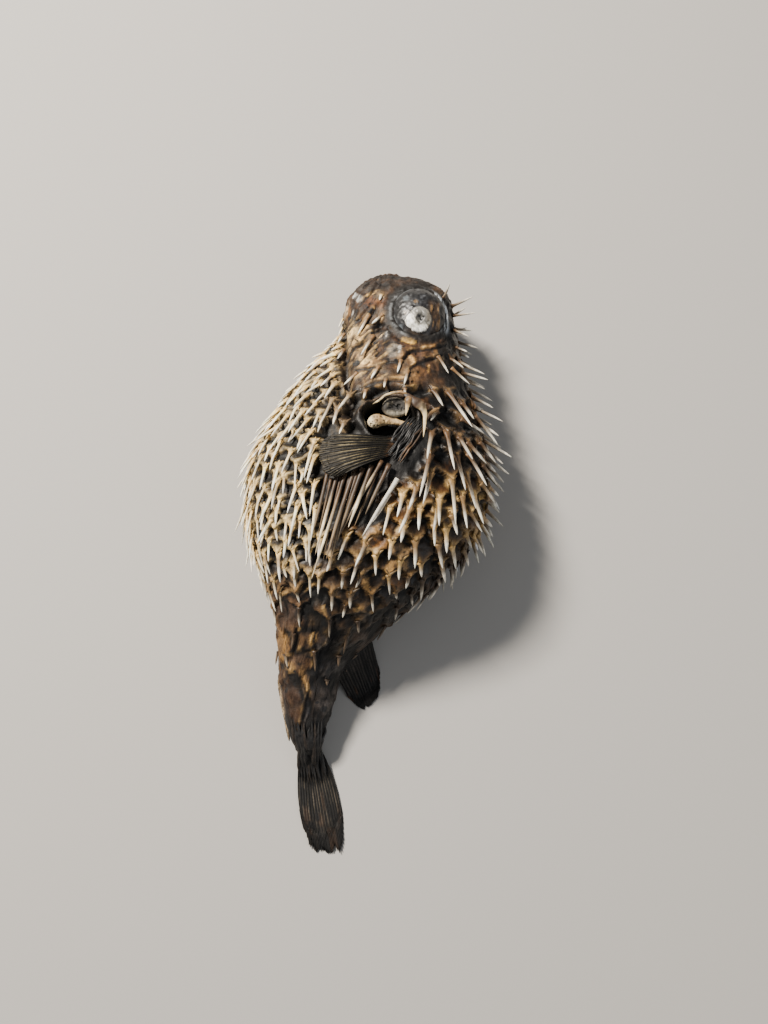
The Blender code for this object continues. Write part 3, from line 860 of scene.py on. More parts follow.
# Marks of the head, the middle of the back and the tail stalk: x, y, half
# widths across and along, heading, colour in thousandths, strength, and how
# ragged the edge is
MARKS = (
    (19.3, 122.9, 12, 3, 95, (66, 47, 36), 0.85, 0.6),
    (2.5, 120, 11, 5.2, 95, (52, 42, 34), 0.9, 0.5),
    (13, 126.5, 15, 3, 92, (24, 20, 17), 0.9, 0.6),
    (32.5, 121.5, 7, 5.5, 0, (24, 21, 19), 0.88, 0.6),
    # a painted highlight on the snout
    (-4.6, 113, 4.2, 2, 50, (520, 530, 520), 0.85, 0.8),
    (-11.2, 108, 1.5, 5.5, 15, (600, 500, 360), 0.8, 0.6),
    (2.2, 113.8, 5.5, 1.7, 62, (600, 420, 190), 0.8, 0.9),
    (5, 107.2, 7.5, 6, 0, (150, 68, 28), 0.85, 0.6),
    (-6.9, 100.3, 2.6, 4.8, 8, (18, 17, 18), 0.92, 0.6),
    (-7.6, 103, 0.6, 2.6, 12, (550, 540, 500), 0.8, 0.6),
    (6.6, 97.3, 1.1, 4.4, 42, (500, 340, 150), 0.75, 0.6),
    (-7.5, 87.5, 3.9, 7.5, 20, (840, 650, 360), 0.88, 0.7),
    (-3, 80, 9, 9.5, 25, (520, 360, 180), 0.72, 0.7),
    # painted shade in the hollow above the grey nodule
    (7.4, 93.8, 4.4, 1.7, 75, (11, 9, 8), 0.94, 0.4),
    (10.1, 87.1, 3.4, 3.8, 15, (165, 155, 148), 0.9, 0.4),
    # a painted highlight on the grey nodule
    (11.3, 88, 0.5, 2.3, 14, (800, 790, 750), 0.85, 0.3),
    (23.2, 83.7, 4.4, 1.5, 104, (700, 460, 120), 0.86, 0.7),
    (15.2, 77.4, 4, 4.8, 0, (215, 195, 170), 0.92, 0.4),
    # a painted highlight on the grey spot
    (18.3, 78.3, 0.7, 2.6, 8, (840, 830, 780), 0.85, 0.3),
    (10.9, 78.6, 0.5, 3, 14, (20, 15, 12), 0.85, 0.3),
    (14.5, 82.6, 3.4, 0.5, 88, (16, 12, 10), 0.88, 0.3),
    (31.4, 77, 8, 2.4, 80, (150, 83, 48), 0.8, 0.5),
    (25.1, 72.6, 3.6, 1.6, 55, (580, 370, 150), 0.8, 0.8),
    (43.4, 80, 5.5, 6, 0, (10, 9, 9), 0.92, 0.5),
    (38.5, 88, 5.5, 4, 60, (14, 12, 12), 0.9, 0.5),
    (44, 70, 6, 10, 0, (11, 10, 10), 0.9, 0.5),
    (31.2, 66.5, 6.5, 4.4, 80, (105, 55, 22), 0.75, 0.7),
    (34, 67.5, 0.9, 3.4, 5, (550, 340, 130), 0.8, 0.8),
    (-1.8, 71, 4.8, 2.2, 78, (800, 600, 320), 0.88, 0.7),
    (10.5, 63.5, 12, 2.6, 88, (36, 24, 17), 0.85, 0.6),
    (2.2, 54.3, 4.2, 2.4, 80, (8, 7, 7), 0.92, 0.5),
    (-3.6, 49.5, 3, 3.6, 0, (18, 16, 15), 0.85, 0.5),
    (38, 47, 7, 7, 0, (12, 10, 9), 0.8, 0.6),
    (31, 43.5, 3, 8, 15, (120, 66, 34), 0.6, 0.7),
    (29, 91.5, 9, 1.6, 92, (60, 45, 33), 0.7, 0.6),
    (5.3, -23.6, 5.5, 3.8, 0, (600, 390, 180), 0.7, 0.9),
    (18.5, -31.5, 6.5, 6, 0, (310, 215, 120), 0.8, 0.5),
    (18.9, -23, 4, 1.3, 0, (780, 600, 340), 0.75, 0.6),
    (3.2, -33.2, 4.6, 2.2, 0, (620, 470, 280), 0.75, 0.9),
    (20.8, -39.5, 2, 4.2, 20, (660, 450, 230), 0.55, 0.9),
    (12.5, -42.3, 2.7, 5.8, 22, (660, 420, 180), 0.62, 0.9),
    (4.9, -42.6, 1.1, 2.4, 10, (660, 430, 190), 0.6, 0.6),
    (0.6, -49.6, 1.7, 4.2, -10, (660, 420, 180), 0.55, 0.9),
    (-43, -60, 7, 13, 5, (90, 54, 34), 0.85, 0.5),
    (-45.5, -79.5, 5, 8.5, 8, (440, 265, 100), 0.8, 0.6),
    (-35, -76.5, 5.5, 4, 0, (170, 105, 55), 0.75, 0.6),
    (-28.6, -77.2, 2.2, 3.8, 30, (600, 390, 160), 0.85, 0.5),
    (-38.5, -88, 6, 4.5, 0, (110, 72, 48), 0.8, 0.5),
    (-41.5, -90.6, 2.4, 2.4, 0, (500, 330, 150), 0.75, 0.7),
    (-33.3, -97.5, 2.4, 6, -14, (500, 310, 130), 0.8, 0.5),
    (-40.5, -110, 6, 12.5, -10, (62, 38, 27), 0.9, 0.4),
    (-46.5, -112, 1.3, 17, -12, (330, 250, 170), 0.75, 0.6))

# Small round dark spots of the cheek and the middle of the back: x, y, size
DARK_SPOTS = ((15.5, 76.8, 1.1), (12.1, 81.7, 1), (12, 71.8, 1),
              (5.5, 74.1, 0.9), (18.3, 84, 1), (5.7, 78.5, 0.7),
              (4, 80.2, 0.6), (27, 76.2, 0.7), (0.5, 84, 0.6),
              (20.5, 80, 0.6), (31.5, 74, 0.6), (12.9, 57.3, 0.9),
              (17.4, 63.4, 1.1), (-7.5, 76, 0.6), (24.5, 70, 0.8),
              (16.6, -33.2, 0.8), (20.4, -33.6, 1), (8.2, -22.6, 0.9))


def inside_mark(points, x, y, across, along, heading, ragged):
    """1 within a soft, ragged oval on the upper side."""
    turn = math.radians(heading)
    dx, dy = points[:, 0] - x, points[:, 1] - y
    run = dy * math.cos(turn) + dx * math.sin(turn)
    off = dx * math.cos(turn) - dy * math.sin(turn)
    if heading >= 60:
        across, along = along, across
    reach = np.hypot(off / across, run / along)
    reach += ragged * (0.5 * noise(points, 3.2, 48) + 0.35 * noise(points, 1.3, 49))
    low = np.where(points[:, 1] < -50, 16, 38)
    return smooth(1.15, 0.65, reach) * (points[:, 2] > low)


def head_colours(colour, points, masks):
    """Marks of the head, and the placed marks and spots of the upper side."""
    x, y, z = points.T
    eye, slant, cheek = masks.eye, masks.slant, masks.cheek
    fine = noise(points, 1.5, 37)
    head = smooth(56, 66, y)
    bare = np.maximum(cheek, smooth(104, 112, y))
    tint(colour, (85, 46, 22), bare * 0.92)
    blotch = rough(points, 9, 35)
    tint(colour, (300, 170, 64), bare * smooth(0.1, 0.55, blotch) * 0.75)
    tint(colour, (32, 24, 20), bare * smooth(-0.05, -0.5, blotch) * 0.85)
    lower = smooth(104, 114, y) * smooth(42, 30, z)
    tint(colour, (85, 62, 48), lower * 0.8)
    grooves = strands(points, 10, 1.4, 7, 98)
    for (mx, my, across, along, heading, shade_of, strength, ragged) in MARKS:
        inside = inside_mark(points, mx, my, across, along, heading, ragged)
        if my < -50:
            inside *= mix(0.45, 1, smooth(-0.4, 0.3, grooves))
        elif my < 30:
            inside *= smooth(0.05, 0.45, masks.shelf)
        tint(colour, shade_of, inside * strength)
    jowl = smooth(17, 6, x) * head * (z > UPPER) * smooth(1.1, 1.3, eye)
    # the jowl's own streaks, with painted shade in the strands' grooves and, below, a pale painted
    # highlight on their crests
    tint(colour, (42, 22, 11), jowl * smooth(-0.05, -0.5, slant) * 0.85)
    jowl *= smooth(104, 92, y)
    tint(colour, (840, 600, 280), jowl * smooth(0.15, 0.65, slant) * 0.72)
    neck = bump(x + 10, 10) * bump(y - 56, 24) * (z > UPPER)
    threads = strands(points, -4, 1.3, 12, 46)
    # the neck's own streaks, with painted shade in the threads' grooves and painted highlight on their
    # crests
    tint(colour, (35, 22, 13), neck * smooth(-0.1, -0.6, threads) * 0.8)
    tint(colour, (620, 470, 270), neck * smooth(0.2, 0.7, threads) * 0.6)
    uneven = smooth(-0.25, 0.45, noise(points, 3.6, 87))
    uneven *= 1 - 0.75 * smooth(-60, -70, y) * smooth(-30, -26, x)
    uneven *= mix(1, 0.3, smooth(-100, -106, y))
    uneven *= 1 - 0.9 * smooth(32, 36, x) * smooth(76, 79, y)
    # painted highlight on the raised side and the lip of each fold
    tint(colour, (500, 310, 130), masks.shine * 0.5 * uneven)
    tint(colour, (820, 570, 260), masks.lip * 0.55 * uneven)
    # painted shade in the cracks
    tint(colour, (20, 13, 9), masks.crack * smooth(-0.5, 0.3, noise(points, 7, 97)) * 0.75)
    mottle = noise(points, 2.6, 88) + 0.7 * noise(points, 1.1, 89)
    colour *= mix(1, np.clip(0.95 + 0.6 * mottle, 0.3, 1.6), bare)[:, None]
    for sx, sy, size in DARK_SPOTS:
        away = np.hypot(x - sx, y - sy) + 0.3 * fine
        tint(colour, (10, 9, 9), smooth(size * 1.15, size * 0.7, away) * (z > UPPER) * 0.95)
    # painted shadow along the edge of each fold
    tint(colour, (10, 7, 6), masks.line * 0.92)
    tint(colour, (600, 460, 280), masks.tent * cheek * (1 - masks.line) * 0.5)
    eye_surrounds(colour, points, masks)


def eye_surrounds(colour, points, masks):
    """The dark lids, darkened round the eye's hollow as painted shade, a painted highlight on the left
    rim, and the pale streaks of the brow.
    """
    x, y, z = points.T
    eye = masks.eye
    ragged = eye + 0.1 * noise(points, 5, 40) + 0.04 * noise(points, 1.6, 47)
    # painted shade round the rim of the eye's hollow, all but its lower left
    ring = smooth(1.3, 1.06, ragged) * smooth(93, 98, y + 0.4 * x)
    tint(colour, (17, 15, 14), ring * 0.94)
    under = smooth(1.22, 1.02, ragged) * smooth(98, 93, y + 0.4 * x)
    tint(colour, (50, 36, 26), under * 0.75)
    # painted highlight along the left rim of the eye
    lit_eye_rim = bump(eye - 0.98, 0.045) * smooth(25, 19, x) * smooth(117, 112, y)
    lit_eye_rim *= smooth(-0.5, 0.4, noise(points, 1.5, 50))
    tint(colour, (330, 340, 345), lit_eye_rim * 0.9)
    upper = z > 30
    brow = smooth(39.5, 42.5, x) * smooth(84, 90, y) * smooth(120, 114, y)
    tint(colour, (12, 12, 13), brow * upper * 0.95)
    path = 44.6 - 0.024 * (y - 99) ** 2 * np.where(y > 99, 1, 0.4)
    streak = np.maximum(bump(x - path, 1.5), 0.8 * bump(x - path + 3.6, 0.9))
    streak *= smooth(88, 93, y) * smooth(119, 113, y)
    streak *= smooth(-0.45, 0.3, noise(points, (0.9, 5, 0.9), 43))
    tint(colour, (580, 620, 660), streak * upper * 0.95)


# ---------------- node helpers

def node(tree, kind, **values):
    made = tree.nodes.new(kind)
    for name, value in values.items():
        setattr(made, name, value)
    return made


def link(tree, start, end):
    tree.links.new(start, end)


def math_node(tree, operation, first, second=None, clamp=False):
    made = node(tree, "ShaderNodeMath", operation=operation)
    made.use_clamp = clamp
    for socket, value in zip(made.inputs, (first, second)):
        if value is None:
            continue
        if isinstance(value, (int, float)):
            socket.default_value = value
        else:
            link(tree, value, socket)
    return made.outputs[0]


def ramp(tree, value, stops):
    """Map a value through a colour ramp; stops hold (place, grey)."""
    made = node(tree, "ShaderNodeValToRGB")
    bar = made.color_ramp
    while len(bar.elements) < len(stops):
        bar.elements.new(0.5)
    for element, (place, shade) in zip(bar.elements, stops):
        element.position = place
        if isinstance(shade, (int, float)):
            shade = (shade, shade, shade)
        element.color = (*shade, 1)
    link(tree, value, made.inputs[0])
    return made.outputs[0]


def blend_colours(tree, amount, first, second, kind="MIX"):
    made = node(tree, "ShaderNodeMix", data_type="RGBA", blend_type=kind)
    for socket, value in ((made.inputs[0], amount), (made.inputs[6], first), (made.inputs[7], second)):
        if isinstance(value, (int, float)):
            socket.default_value = value
        elif isinstance(value, tuple):
            socket.default_value = (*value, 1)
        else:
            link(tree, value, socket)
    return made.outputs[2]


def noise_node(tree, vector, scale, detail=4, roughness=0.55):
    made = node(tree, "ShaderNodeTexNoise")
    made.inputs["Scale"].default_value = scale
    made.inputs["Detail"].default_value = detail
    made.inputs["Roughness"].default_value = roughness
    link(tree, vector, made.inputs["Vector"])
    return made.outputs["Fac"]


def new_group(name, inputs, outputs):
    tree = bpy.data.node_groups.new(name, "ShaderNodeTree")
    for label, kind, value in inputs:
        socket = tree.interface.new_socket(label, in_out="INPUT", socket_type=kind)
        if value is not None:
            socket.default_value = value
    for label, kind in outputs:
        tree.interface.new_socket(label, in_out="OUTPUT", socket_type=kind)
    return (tree, node(tree, "NodeGroupInput").outputs, node(tree, "NodeGroupOutput").inputs)


def dry_surface_group():
    """Colour worn and speckled at two scales, with a dry bumpy normal."""
    tree, given, result = new_group("dry_surface", (("Colour", "NodeSocketColor", None),
                                                    ("Contrast", "NodeSocketFloat", 1),
                                                    ("Bump", "NodeSocketFloat", 0.5),
                                                    ("Gloss", "NodeSocketFloat", 0.55)),
                                    (("Colour", "NodeSocketColor"), ("Roughness", "NodeSocketFloat"),
                                     ("Normal", "NodeSocketVector")))
    where = node(tree, "ShaderNodeTexCoord").outputs["Object"]
    coarse = noise_node(tree, where, 240, 5, 0.62)
    fine = noise_node(tree, where, 950, 3, 0.6)
    fibre_map = node(tree, "ShaderNodeMapping")
    fibre_map.inputs["Scale"].default_value = (1, 0.25, 1)
    link(tree, where, fibre_map.inputs["Vector"])
    fibre = noise_node(tree, fibre_map.outputs[0], 800, 3, 0.5)
    shade = ramp(tree, coarse, ((0.28, 0.52), (0.5, 0.97), (0.75, 1.28)))
    speck = ramp(tree, fine, ((0.3, 0.5), (0.52, 1), (0.78, 1.45)))
    thread = ramp(tree, fibre, ((0.3, 0.58), (0.7, 1.38)))
    worn = blend_colours(tree, given["Contrast"], given["Colour"], shade, "MULTIPLY")
    worn = blend_colours(tree, given["Contrast"], worn, speck, "MULTIPLY")
    worn = blend_colours(tree, given["Contrast"], worn, thread, "MULTIPLY")
    link(tree, worn, result["Colour"])
    swing = math_node(tree, "MULTIPLY", coarse, 0.35)
    gloss = math_node(tree, "ADD", given["Gloss"], swing)
    gloss = math_node(tree, "SUBTRACT", gloss, 0.17, True)
    link(tree, gloss, result["Roughness"])
    height = math_node(tree, "ADD", coarse, math_node(tree, "MULTIPLY", fine, 0.45))
    height = math_node(tree, "ADD", height, math_node(tree, "MULTIPLY", fibre, 0.35))
    lift = node(tree, "ShaderNodeBump")
    lift.inputs["Distance"].default_value = 0.0006
    link(tree, given["Bump"], lift.inputs["Strength"])
    link(tree, height, lift.inputs["Height"])
    link(tree, lift.outputs[0], result["Normal"])
    return tree


def spots_group():
    """A mask of small round spots, scattered and of uneven size."""
    tree, given, result = new_group("spots", (("Scale", "NodeSocketFloat", 150),
                                              ("Size", "NodeSocketFloat", 0.2)),
                                    (("Mask", "NodeSocketFloat"),))
    where = node(tree, "ShaderNodeTexCoord").outputs["Object"]
    cells = node(tree, "ShaderNodeTexVoronoi")
    link(tree, where, cells.inputs["Vector"])
    link(tree, given["Scale"], cells.inputs["Scale"])
    wobble = noise_node(tree, where, 500, 2, 0.5)
    away = math_node(tree, "ADD", cells.outputs["Distance"], math_node(tree, "MULTIPLY", wobble, 0.14))
    away = math_node(tree, "SUBTRACT", away, 0.07)
    room = math_node(tree, "SUBTRACT", given["Size"], away)
    mask = math_node(tree, "MULTIPLY", room, 14, True)
    link(tree, mask, result["Mask"])
    return tree


DRY = dry_surface_group()
SPOTS = spots_group()


def new_material(name):
    made = bpy.data.materials.new(name)
    made.use_nodes = True
    tree = made.node_tree
    return made, tree, tree.nodes["Principled BSDF"]


def use_group(tree, group, **values):
    made = node(tree, "ShaderNodeGroup", node_tree=group)
    for name, value in values.items():
        made.inputs[name].default_value = value
    return made


def finish(tree, shader, colour, contrast, bump_strength, gloss):
    """Run a colour through the dry surface and into the shader."""
    dry = use_group(tree, DRY, Contrast=contrast, Bump=bump_strength)
    if isinstance(gloss, float):
        dry.inputs["Gloss"].default_value = gloss
    else:
        link(tree, gloss, dry.inputs["Gloss"])
    if isinstance(colour, tuple):
        dry.inputs["Colour"].default_value = (*colour, 1)
    else:
        link(tree, colour, dry.inputs["Colour"])
    link(tree, dry.outputs["Colour"], shader.inputs["Base Color"])
    link(tree, dry.outputs["Roughness"], shader.inputs["Roughness"])
    link(tree, dry.outputs["Normal"], shader.inputs["Normal"])


def attribute(tree, name):
    return node(tree, "ShaderNodeAttribute", attribute_name=name)


def skin_material():
    made, tree, shader = new_material("dried_skin")
    tone = attribute(tree, "tone").outputs["Color"]
    spotty = attribute(tree, "spotty").outputs["Fac"]
    small = use_group(tree, SPOTS, Scale=165, Size=0.2).outputs[0]
    large = use_group(tree, SPOTS, Scale=105, Size=0.24).outputs[0]
    mask = math_node(tree, "MAXIMUM", small, large)
    mask = math_node(tree, "MULTIPLY", mask, spotty, True)
    colour = blend_colours(tree, mask, tone, (0.009, 0.008, 0.008))
    wet = attribute(tree, "wet").outputs["Fac"]
    gloss = math_node(tree, "MULTIPLY", wet, GLOSS_RANGE)
    gloss = math_node(tree, "ADD", gloss, 0.62)
    finish(tree, shader, colour, 0.75, 0.6, gloss)
    shader.inputs["Specular IOR Level"].default_value = 0.36
    return made


def toned_material(name, contrast, bump_strength, gloss, levels):
    """A dry surface in the piece's own tones."""
    made, tree, shader = new_material(name)
    tone = attribute(tree, "tone").outputs["Color"]
    finish(tree, shader, tone, contrast, bump_strength, gloss)
    for label, value in levels.items():
        shader.inputs[label].default_value = value
    return made


def bone_material(name, colour, contrast, gloss, pits, pit_colour):
    made, tree, shader = new_material(name)
    holes = use_group(tree, SPOTS, Scale=pits, Size=0.26).outputs[0]
    pitted = blend_colours(tree, holes, colour, pit_colour)
    finish(tree, shader, pitted, contrast, 0.6, gloss)
    return made


def fin_material(name):
    return toned_material(name, 0.6, 0.45, 0.62, {"Specular IOR Level": 0.32})


# ---------------- mesh helpers

def deselect():
    for thing in bpy.context.selected_objects:
        thing.select_set(False)


def new_primitive(name, maker, **values):
    """Add a primitive in metres and hand back its object, alone selected."""
    deselect()
    maker(**values)
    made = bpy.context.active_object
    made.name = name
    made.data.name = name
    return made


def get_points(thing):
    flat = np.empty(len(thing.data.vertices) * 3)
    thing.data.vertices.foreach_get("co", flat)
    return flat.reshape(-1, 3)


def set_points(thing, points):
    thing.data.vertices.foreach_set("co", (points * MM).ravel())
    thing.data.update()


def set_colours(thing, name, colours):
    layer = thing.data.color_attributes.new(name, "FLOAT_COLOR", "POINT")
    deeper = 0.93 * (np.clip(colours, 0.001, 1) / 0.93) ** 1.28
    full = np.concatenate((deeper, np.ones((len(colours), 1))), 1)
    layer.data.foreach_set("color", full.astype(np.float32).ravel())


def set_values(thing, name, values):
    layer = thing.data.attributes.new(name, "FLOAT", "POINT")
    layer.data.foreach_set("value", np.asarray(values, np.float32))


def new_ball(name, segments, rings):
    """A ball of radius 1 to be given its shape, and its points."""
    made = new_primitive(name, bpy.ops.mesh.primitive_uv_sphere_add, segments=segments, ring_count=rings,
                         radius=1)
    return made, get_points(made)


def ways_round(ball):
    """Directions of the ball's points round its axis."""
    size = np.linalg.norm(ball[:, :2], axis=1, keepdims=True)
    return ball[:, :2] / np.maximum(size, 1e-6)


def shaped(thing, points, colours):
    """Give a piece its points and colours."""
    set_points(thing, points)
    set_colours(thing, "tone", colours)
    thing.data.shade_smooth()
    return thing


def apply_all(thing):
    deselect()
    thing.select_set(True)
    bpy.context.view_layer.objects.active = thing
    for modifier in list(thing.modifiers):
        bpy.ops.object.modifier_apply(modifier=modifier.name)


def dress(thing, material, slot, *nodes):
    """Give a piece its finish, hang it under the root, and hide the model's parts that it stands for."""
    thing.data.materials.clear()
    thing.data.materials.append(material)
    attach(thing, "root")
    if nodes:
        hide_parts(*nodes)


def mesh_object(name, points, faces):
    data = bpy.data.meshes.new(name)
    data.from_pydata((points * MM).tolist(), [], faces)
    made = bpy.data.objects.new(name, data)
    bpy.context.scene.collection.objects.link(made)
    return made


# ---------------- skin

def ring_places():
    """Distances of the skin's rings: closest together on the head."""
    head = distance_of(HEAD_END_Y)
    trunk = distance_of(TRUNK_END_Y)
    shares = (0, HEAD_SHARE, 0.86, 1)
    return np.interp(np.arange(ALONG + 1) / ALONG, shares, (0, head, trunk, LENGTH))


def column_angles():
    """Angles of the skin's columns: closer together on the upper side."""
    turn = np.linspace(0, 2 * math.pi, 2881)
    crowd = 1 + 0.42 * np.sin(turn)
    grown = np.concatenate(((0,), np.cumsum((crowd[1:] + crowd[:-1]) / 2)))
    grown /= grown[-1]
    return np.interp(np.arange(AROUND) / AROUND, grown, turn)


RING_PLACES = ring_places()
COLUMN_ANGLES = column_angles()


def unwrap_place(distance, angle):
    """Where a point of the body lies on the skin's unwrap, from 0 to 1."""
    u = np.interp(np.mod(angle, 2 * math.pi), np.append(COLUMN_ANGLES, 2 * math.pi),
                  np.arange(AROUND + 1) / AROUND)
    v = 1 - np.interp(distance, RING_PLACES, np.arange(ALONG + 1) / ALONG)
    return u, v


def unwrap_skin(thing, ring, column):
    """Lay the grid out flat: around the body in u, along it in v."""
    data = thing.data
    corner = np.empty(len(data.loops), np.int32)
    data.loops.foreach_get("vertex_index", corner)
    start = np.empty(len(data.polygons), np.int32)
    count = np.empty(len(data.polygons), np.int32)
    data.polygons.foreach_get("loop_start", start)
    data.polygons.foreach_get("loop_total", count)
    face = np.repeat(np.arange(len(start)), count)
    across = column[corner].astype(float)
    down = ring[corner]
    pole = (down == 0) | (down == ALONG)
    widest = np.zeros(len(start))
    np.maximum.at(widest, face[~pole], across[~pole])
    wraps = (widest[face] - across > AROUND / 2) & ~pole
    across[wraps] += AROUND
    total = np.zeros(len(start))
    corners = np.zeros(len(start))
    np.add.at(total, face[~pole], across[~pole])
    np.add.at(corners, face[~pole], 1)
    across[pole] = (total / np.maximum(corners, 1))[face[pole]]
    layer = data.uv_layers[0]
    layer.name = "OFBake"
    flat = np.stack((across / AROUND, 1 - down / ALONG), -1)
    layer.data.foreach_set("uv", flat.astype(np.float32).ravel())


def build_skin():
    """One skin over head, trunk and tail stalk."""
    skin = new_primitive("skin", bpy.ops.mesh.primitive_uv_sphere_add, segments=AROUND, ring_count=ALONG,
                         radius=1, calc_uvs=True)
    ball = get_points(skin)
    tilt = np.arccos(np.clip(ball[:, 2], -1, 1))
    ring = np.rint(tilt / math.pi * ALONG).astype(int)
    turn = np.mod(np.arctan2(ball[:, 1], ball[:, 0]), 2 * math.pi)
    column = np.rint(turn / (2 * math.pi) * AROUND).astype(int) % AROUND
    order = np.argsort(ring, kind="stable")
    distance = RING_PLACES[ring]
    angle = COLUMN_ANGLES[column]
    points = np.empty_like(ball)
    moved, masks = skin_surface(distance[order], angle[order])
    points[order] = moved
    for name, by_ring in vars(masks).items():
        by_point = np.empty_like(by_ring)
        by_point[order] = by_ring
        setattr(masks, name, by_point)
    set_points(skin, points)
    unwrap_skin(skin, ring, column)
    set_colours(skin, "tone", skin_colours(points, masks))
    spotty = smooth(58, 70, points[:, 1]) * smooth(116, 104, points[:, 1])
    spotty = np.maximum(spotty, smooth(-80, -94, points[:, 1]))
    spotty *= smooth(1.2, 1.4, masks.eye)
    set_values(skin, "spotty", spotty)
    below = smooth(0.2, -0.3, masks.backward - 0.4)
    wet = 0.6 * masks.calm * smooth(0.2, 0.6, masks.shelf) * (1 - masks.rim) * below
    wet = np.maximum(wet, 0.4 * smooth(1.35, 1.1, masks.gill))
    wet = np.maximum(wet, masks.calm * smooth(-0.4, 0.1, masks.backward) * smooth(0.2, 0.6, masks.shelf))
    set_values(skin, "wet", np.clip(wet, 0, 1))
    skin.data.shade_smooth()
    return skin


# ---------------- spines

SIDES = 7
# Steps of a shaft: share of its length, half width and half thickness
SHAFT = np.array(((-0.05, 2.5, 1.2), (0.03, 2, 1.1), (0.1, 1.5, 1),
                  (0.2, 1.18, 0.92), (0.42, 1.05, 0.84), (0.64, 0.88, 0.74),
                  (0.84, 0.54, 0.48), (0.96, 0.2, 0.19)))
ARM_STEPS = np.array((0, 0.25, 0.52, 0.8))
ARM_RING = np.array(((-1, -0.8), (-0.62, 0.42), (0, 0.85),
                     (0.62, 0.42), (1, -0.8)))


def shaft_points(roots, point, flow, side, out):
    """The tapering shafts: one ring of points for each step, and a tip."""
    length, thick = roots[:, LENGTH_OF], roots[:, THICK]
    lift, lean = np.radians(roots[:, LIFT]), np.radians(roots[:, LEAN])
    flare = np.where(roots[:, KIND] >= ROD, 0.35, 1)
    flare *= np.where(roots[:, KIND] == CHEEK, 0.6, 1)
    flat = flow * np.cos(lean)[:, None] + side * np.sin(lean)[:, None]
    headed = (roots[:, KIND] == COMBED) | (roots[:, KIND] == CHEEK)
    ahead = np.stack((np.sin(lean), -np.cos(lean), 0 * lean), -1)
    ahead[:, 2] = -dot(ahead, out) / np.maximum(out[:, 2], 0.35)
    flat = np.where(headed[:, None], unit(ahead), flat)
    aim = flat * np.cos(lift)[:, None] + out * np.sin(lift)[:, None]
    wide = unit(np.cross(aim, out))
    high = unit(np.cross(wide, aim))
    bend = rng.normal(0, 0.035, (len(roots), 2))
    bend[:, 1] -= np.where(roots[:, KIND] >= ROD, 0.13, 0.05)
    rings = []
    turn = np.arange(SIDES) * 2 * math.pi / SIDES
    for share, width, depth in np.vstack((SHAFT, ((1, 0, 0),))):
        curve = share * share * length
        centre = point + aim * (share * length)[:, None]
        centre += wide * (curve * bend[:, 0])[:, None]
        centre += high * (curve * bend[:, 1])[:, None]
        if width == 0:
            rings.append(centre[:, None])
            continue
        half_wide = (1 + (width - 1) * flare) * thick
        if share > 0.3:
            half_wide = width * thick
        ring = (wide[:, None] * np.cos(turn)[None, :, None] * half_wide[:, None, None]
                + high[:, None] * np.sin(turn)[None, :, None] * (depth * thick)[:, None, None])
        rings.append(centre[:, None] + ring)
    return np.concatenate(rings, 1)


def arm_points(roots, direction):
    """One low arm of every root, laid over the skin towards its end."""
    distance, angle, half, reach = roots[:, :4].T
    thick = roots[:, THICK]
    near = body_points(distance, angle + 0.01)
    per_turn = np.linalg.norm(near - body_points(distance, angle), axis=1)
    per_turn = np.maximum(per_turn / 0.01, 4)
    rings = []
    for share in np.append(ARM_STEPS, 1):
        if direction == 0:
            ahead, beside = 0.6 * reach * share, np.zeros(len(roots))
        else:
            ahead = arch_of(roots) * math.sin(math.pi / 2 * share * 0.8)
            beside = direction * half * share * np.where(np.cos(angle) < -0.2, 0.62, 0.6)
        s = distance - ahead
        a = angle + beside / per_turn
        point, tail, side, out = frames(s, a)
        if direction == 0:
            across = side
        else:
            slope = arch_of(roots) * math.cos(math.pi / 2 * share) * 1.57
            across = unit(tail * half[:, None] + side * (direction * slope)[:, None])
        wide = thick * mix(2.1, 0.32, share ** 0.6)
        high = thick * mix(1, 0.3, share)
        if share == 1:
            rings.append((point - out * 0.5)[:, None])
            continue
        ring = (across[:, None] * (ARM_RING[:, 0][None, :, None] * wide[:, None, None])
                + out[:, None] * (ARM_RING[:, 1][None, :, None] * high[:, None, None]))
        rings.append(point[:, None] + ring)
    return np.concatenate(rings, 1)


def tube_faces(sides, steps, first=0):
    """Faces of a closed tube that ends in a point."""
    faces = [tuple(first + k for k in reversed(range(sides)))]
    for step in range(steps - 1):
        low = first + step * sides
        for k in range(sides):
            after = (k + 1) % sides
            faces.append((low + k, low + after, low + sides + after, low + sides + k))
    low, tip = first + (steps - 1) * sides, first + steps * sides
    for k in range(sides):
        faces.append((low + k, low + (k + 1) % sides, tip))
    return faces


def tube_places(sides, steps, left, right):
    """Places of the same faces' corners on the unwrap patch, -1 to 1."""
    def at(k, step):
        return (mix(left, right, k / sides), -1 + 2 * step / steps)
    places = [at(k, 0.35 * (k % 2)) for k in reversed(range(sides))]
    for step in range(steps - 1):
        for k in range(sides):
            places += [at(k, step), at(k + 1, step), at(k + 1, step + 1), at(k, step + 1)]
    for k in range(sides):
        places += [at(k, steps - 1), at(k + 1, steps - 1), at(k + 0.5, steps)]
    return places


def copies_of(blocks, faces, places, roots, colours):
    """The same small shape at every root, with its places and colours."""
    count, size = blocks.shape[0], blocks.shape[1]
    flat = blocks.reshape(-1, 3).copy()
    flat[:, 2] = np.maximum(flat[:, 2], FLOOR_GAP)
    all_faces = [tuple(corner + k * size for corner in face) for k in range(count) for face in faces]
    u, v = unwrap_place(roots[:, AT], roots[:, ANGLE])
    u = np.clip(u, PATCH, 1 - PATCH)
    v = np.clip(v, PATCH, 1 - PATCH)
    local = np.array(places) * PATCH / 2
    laid = np.stack((u, v), -1)[:, None] + local[None]
    return flat, all_faces, laid.reshape(-1, 2), colours.reshape(-1, 3)


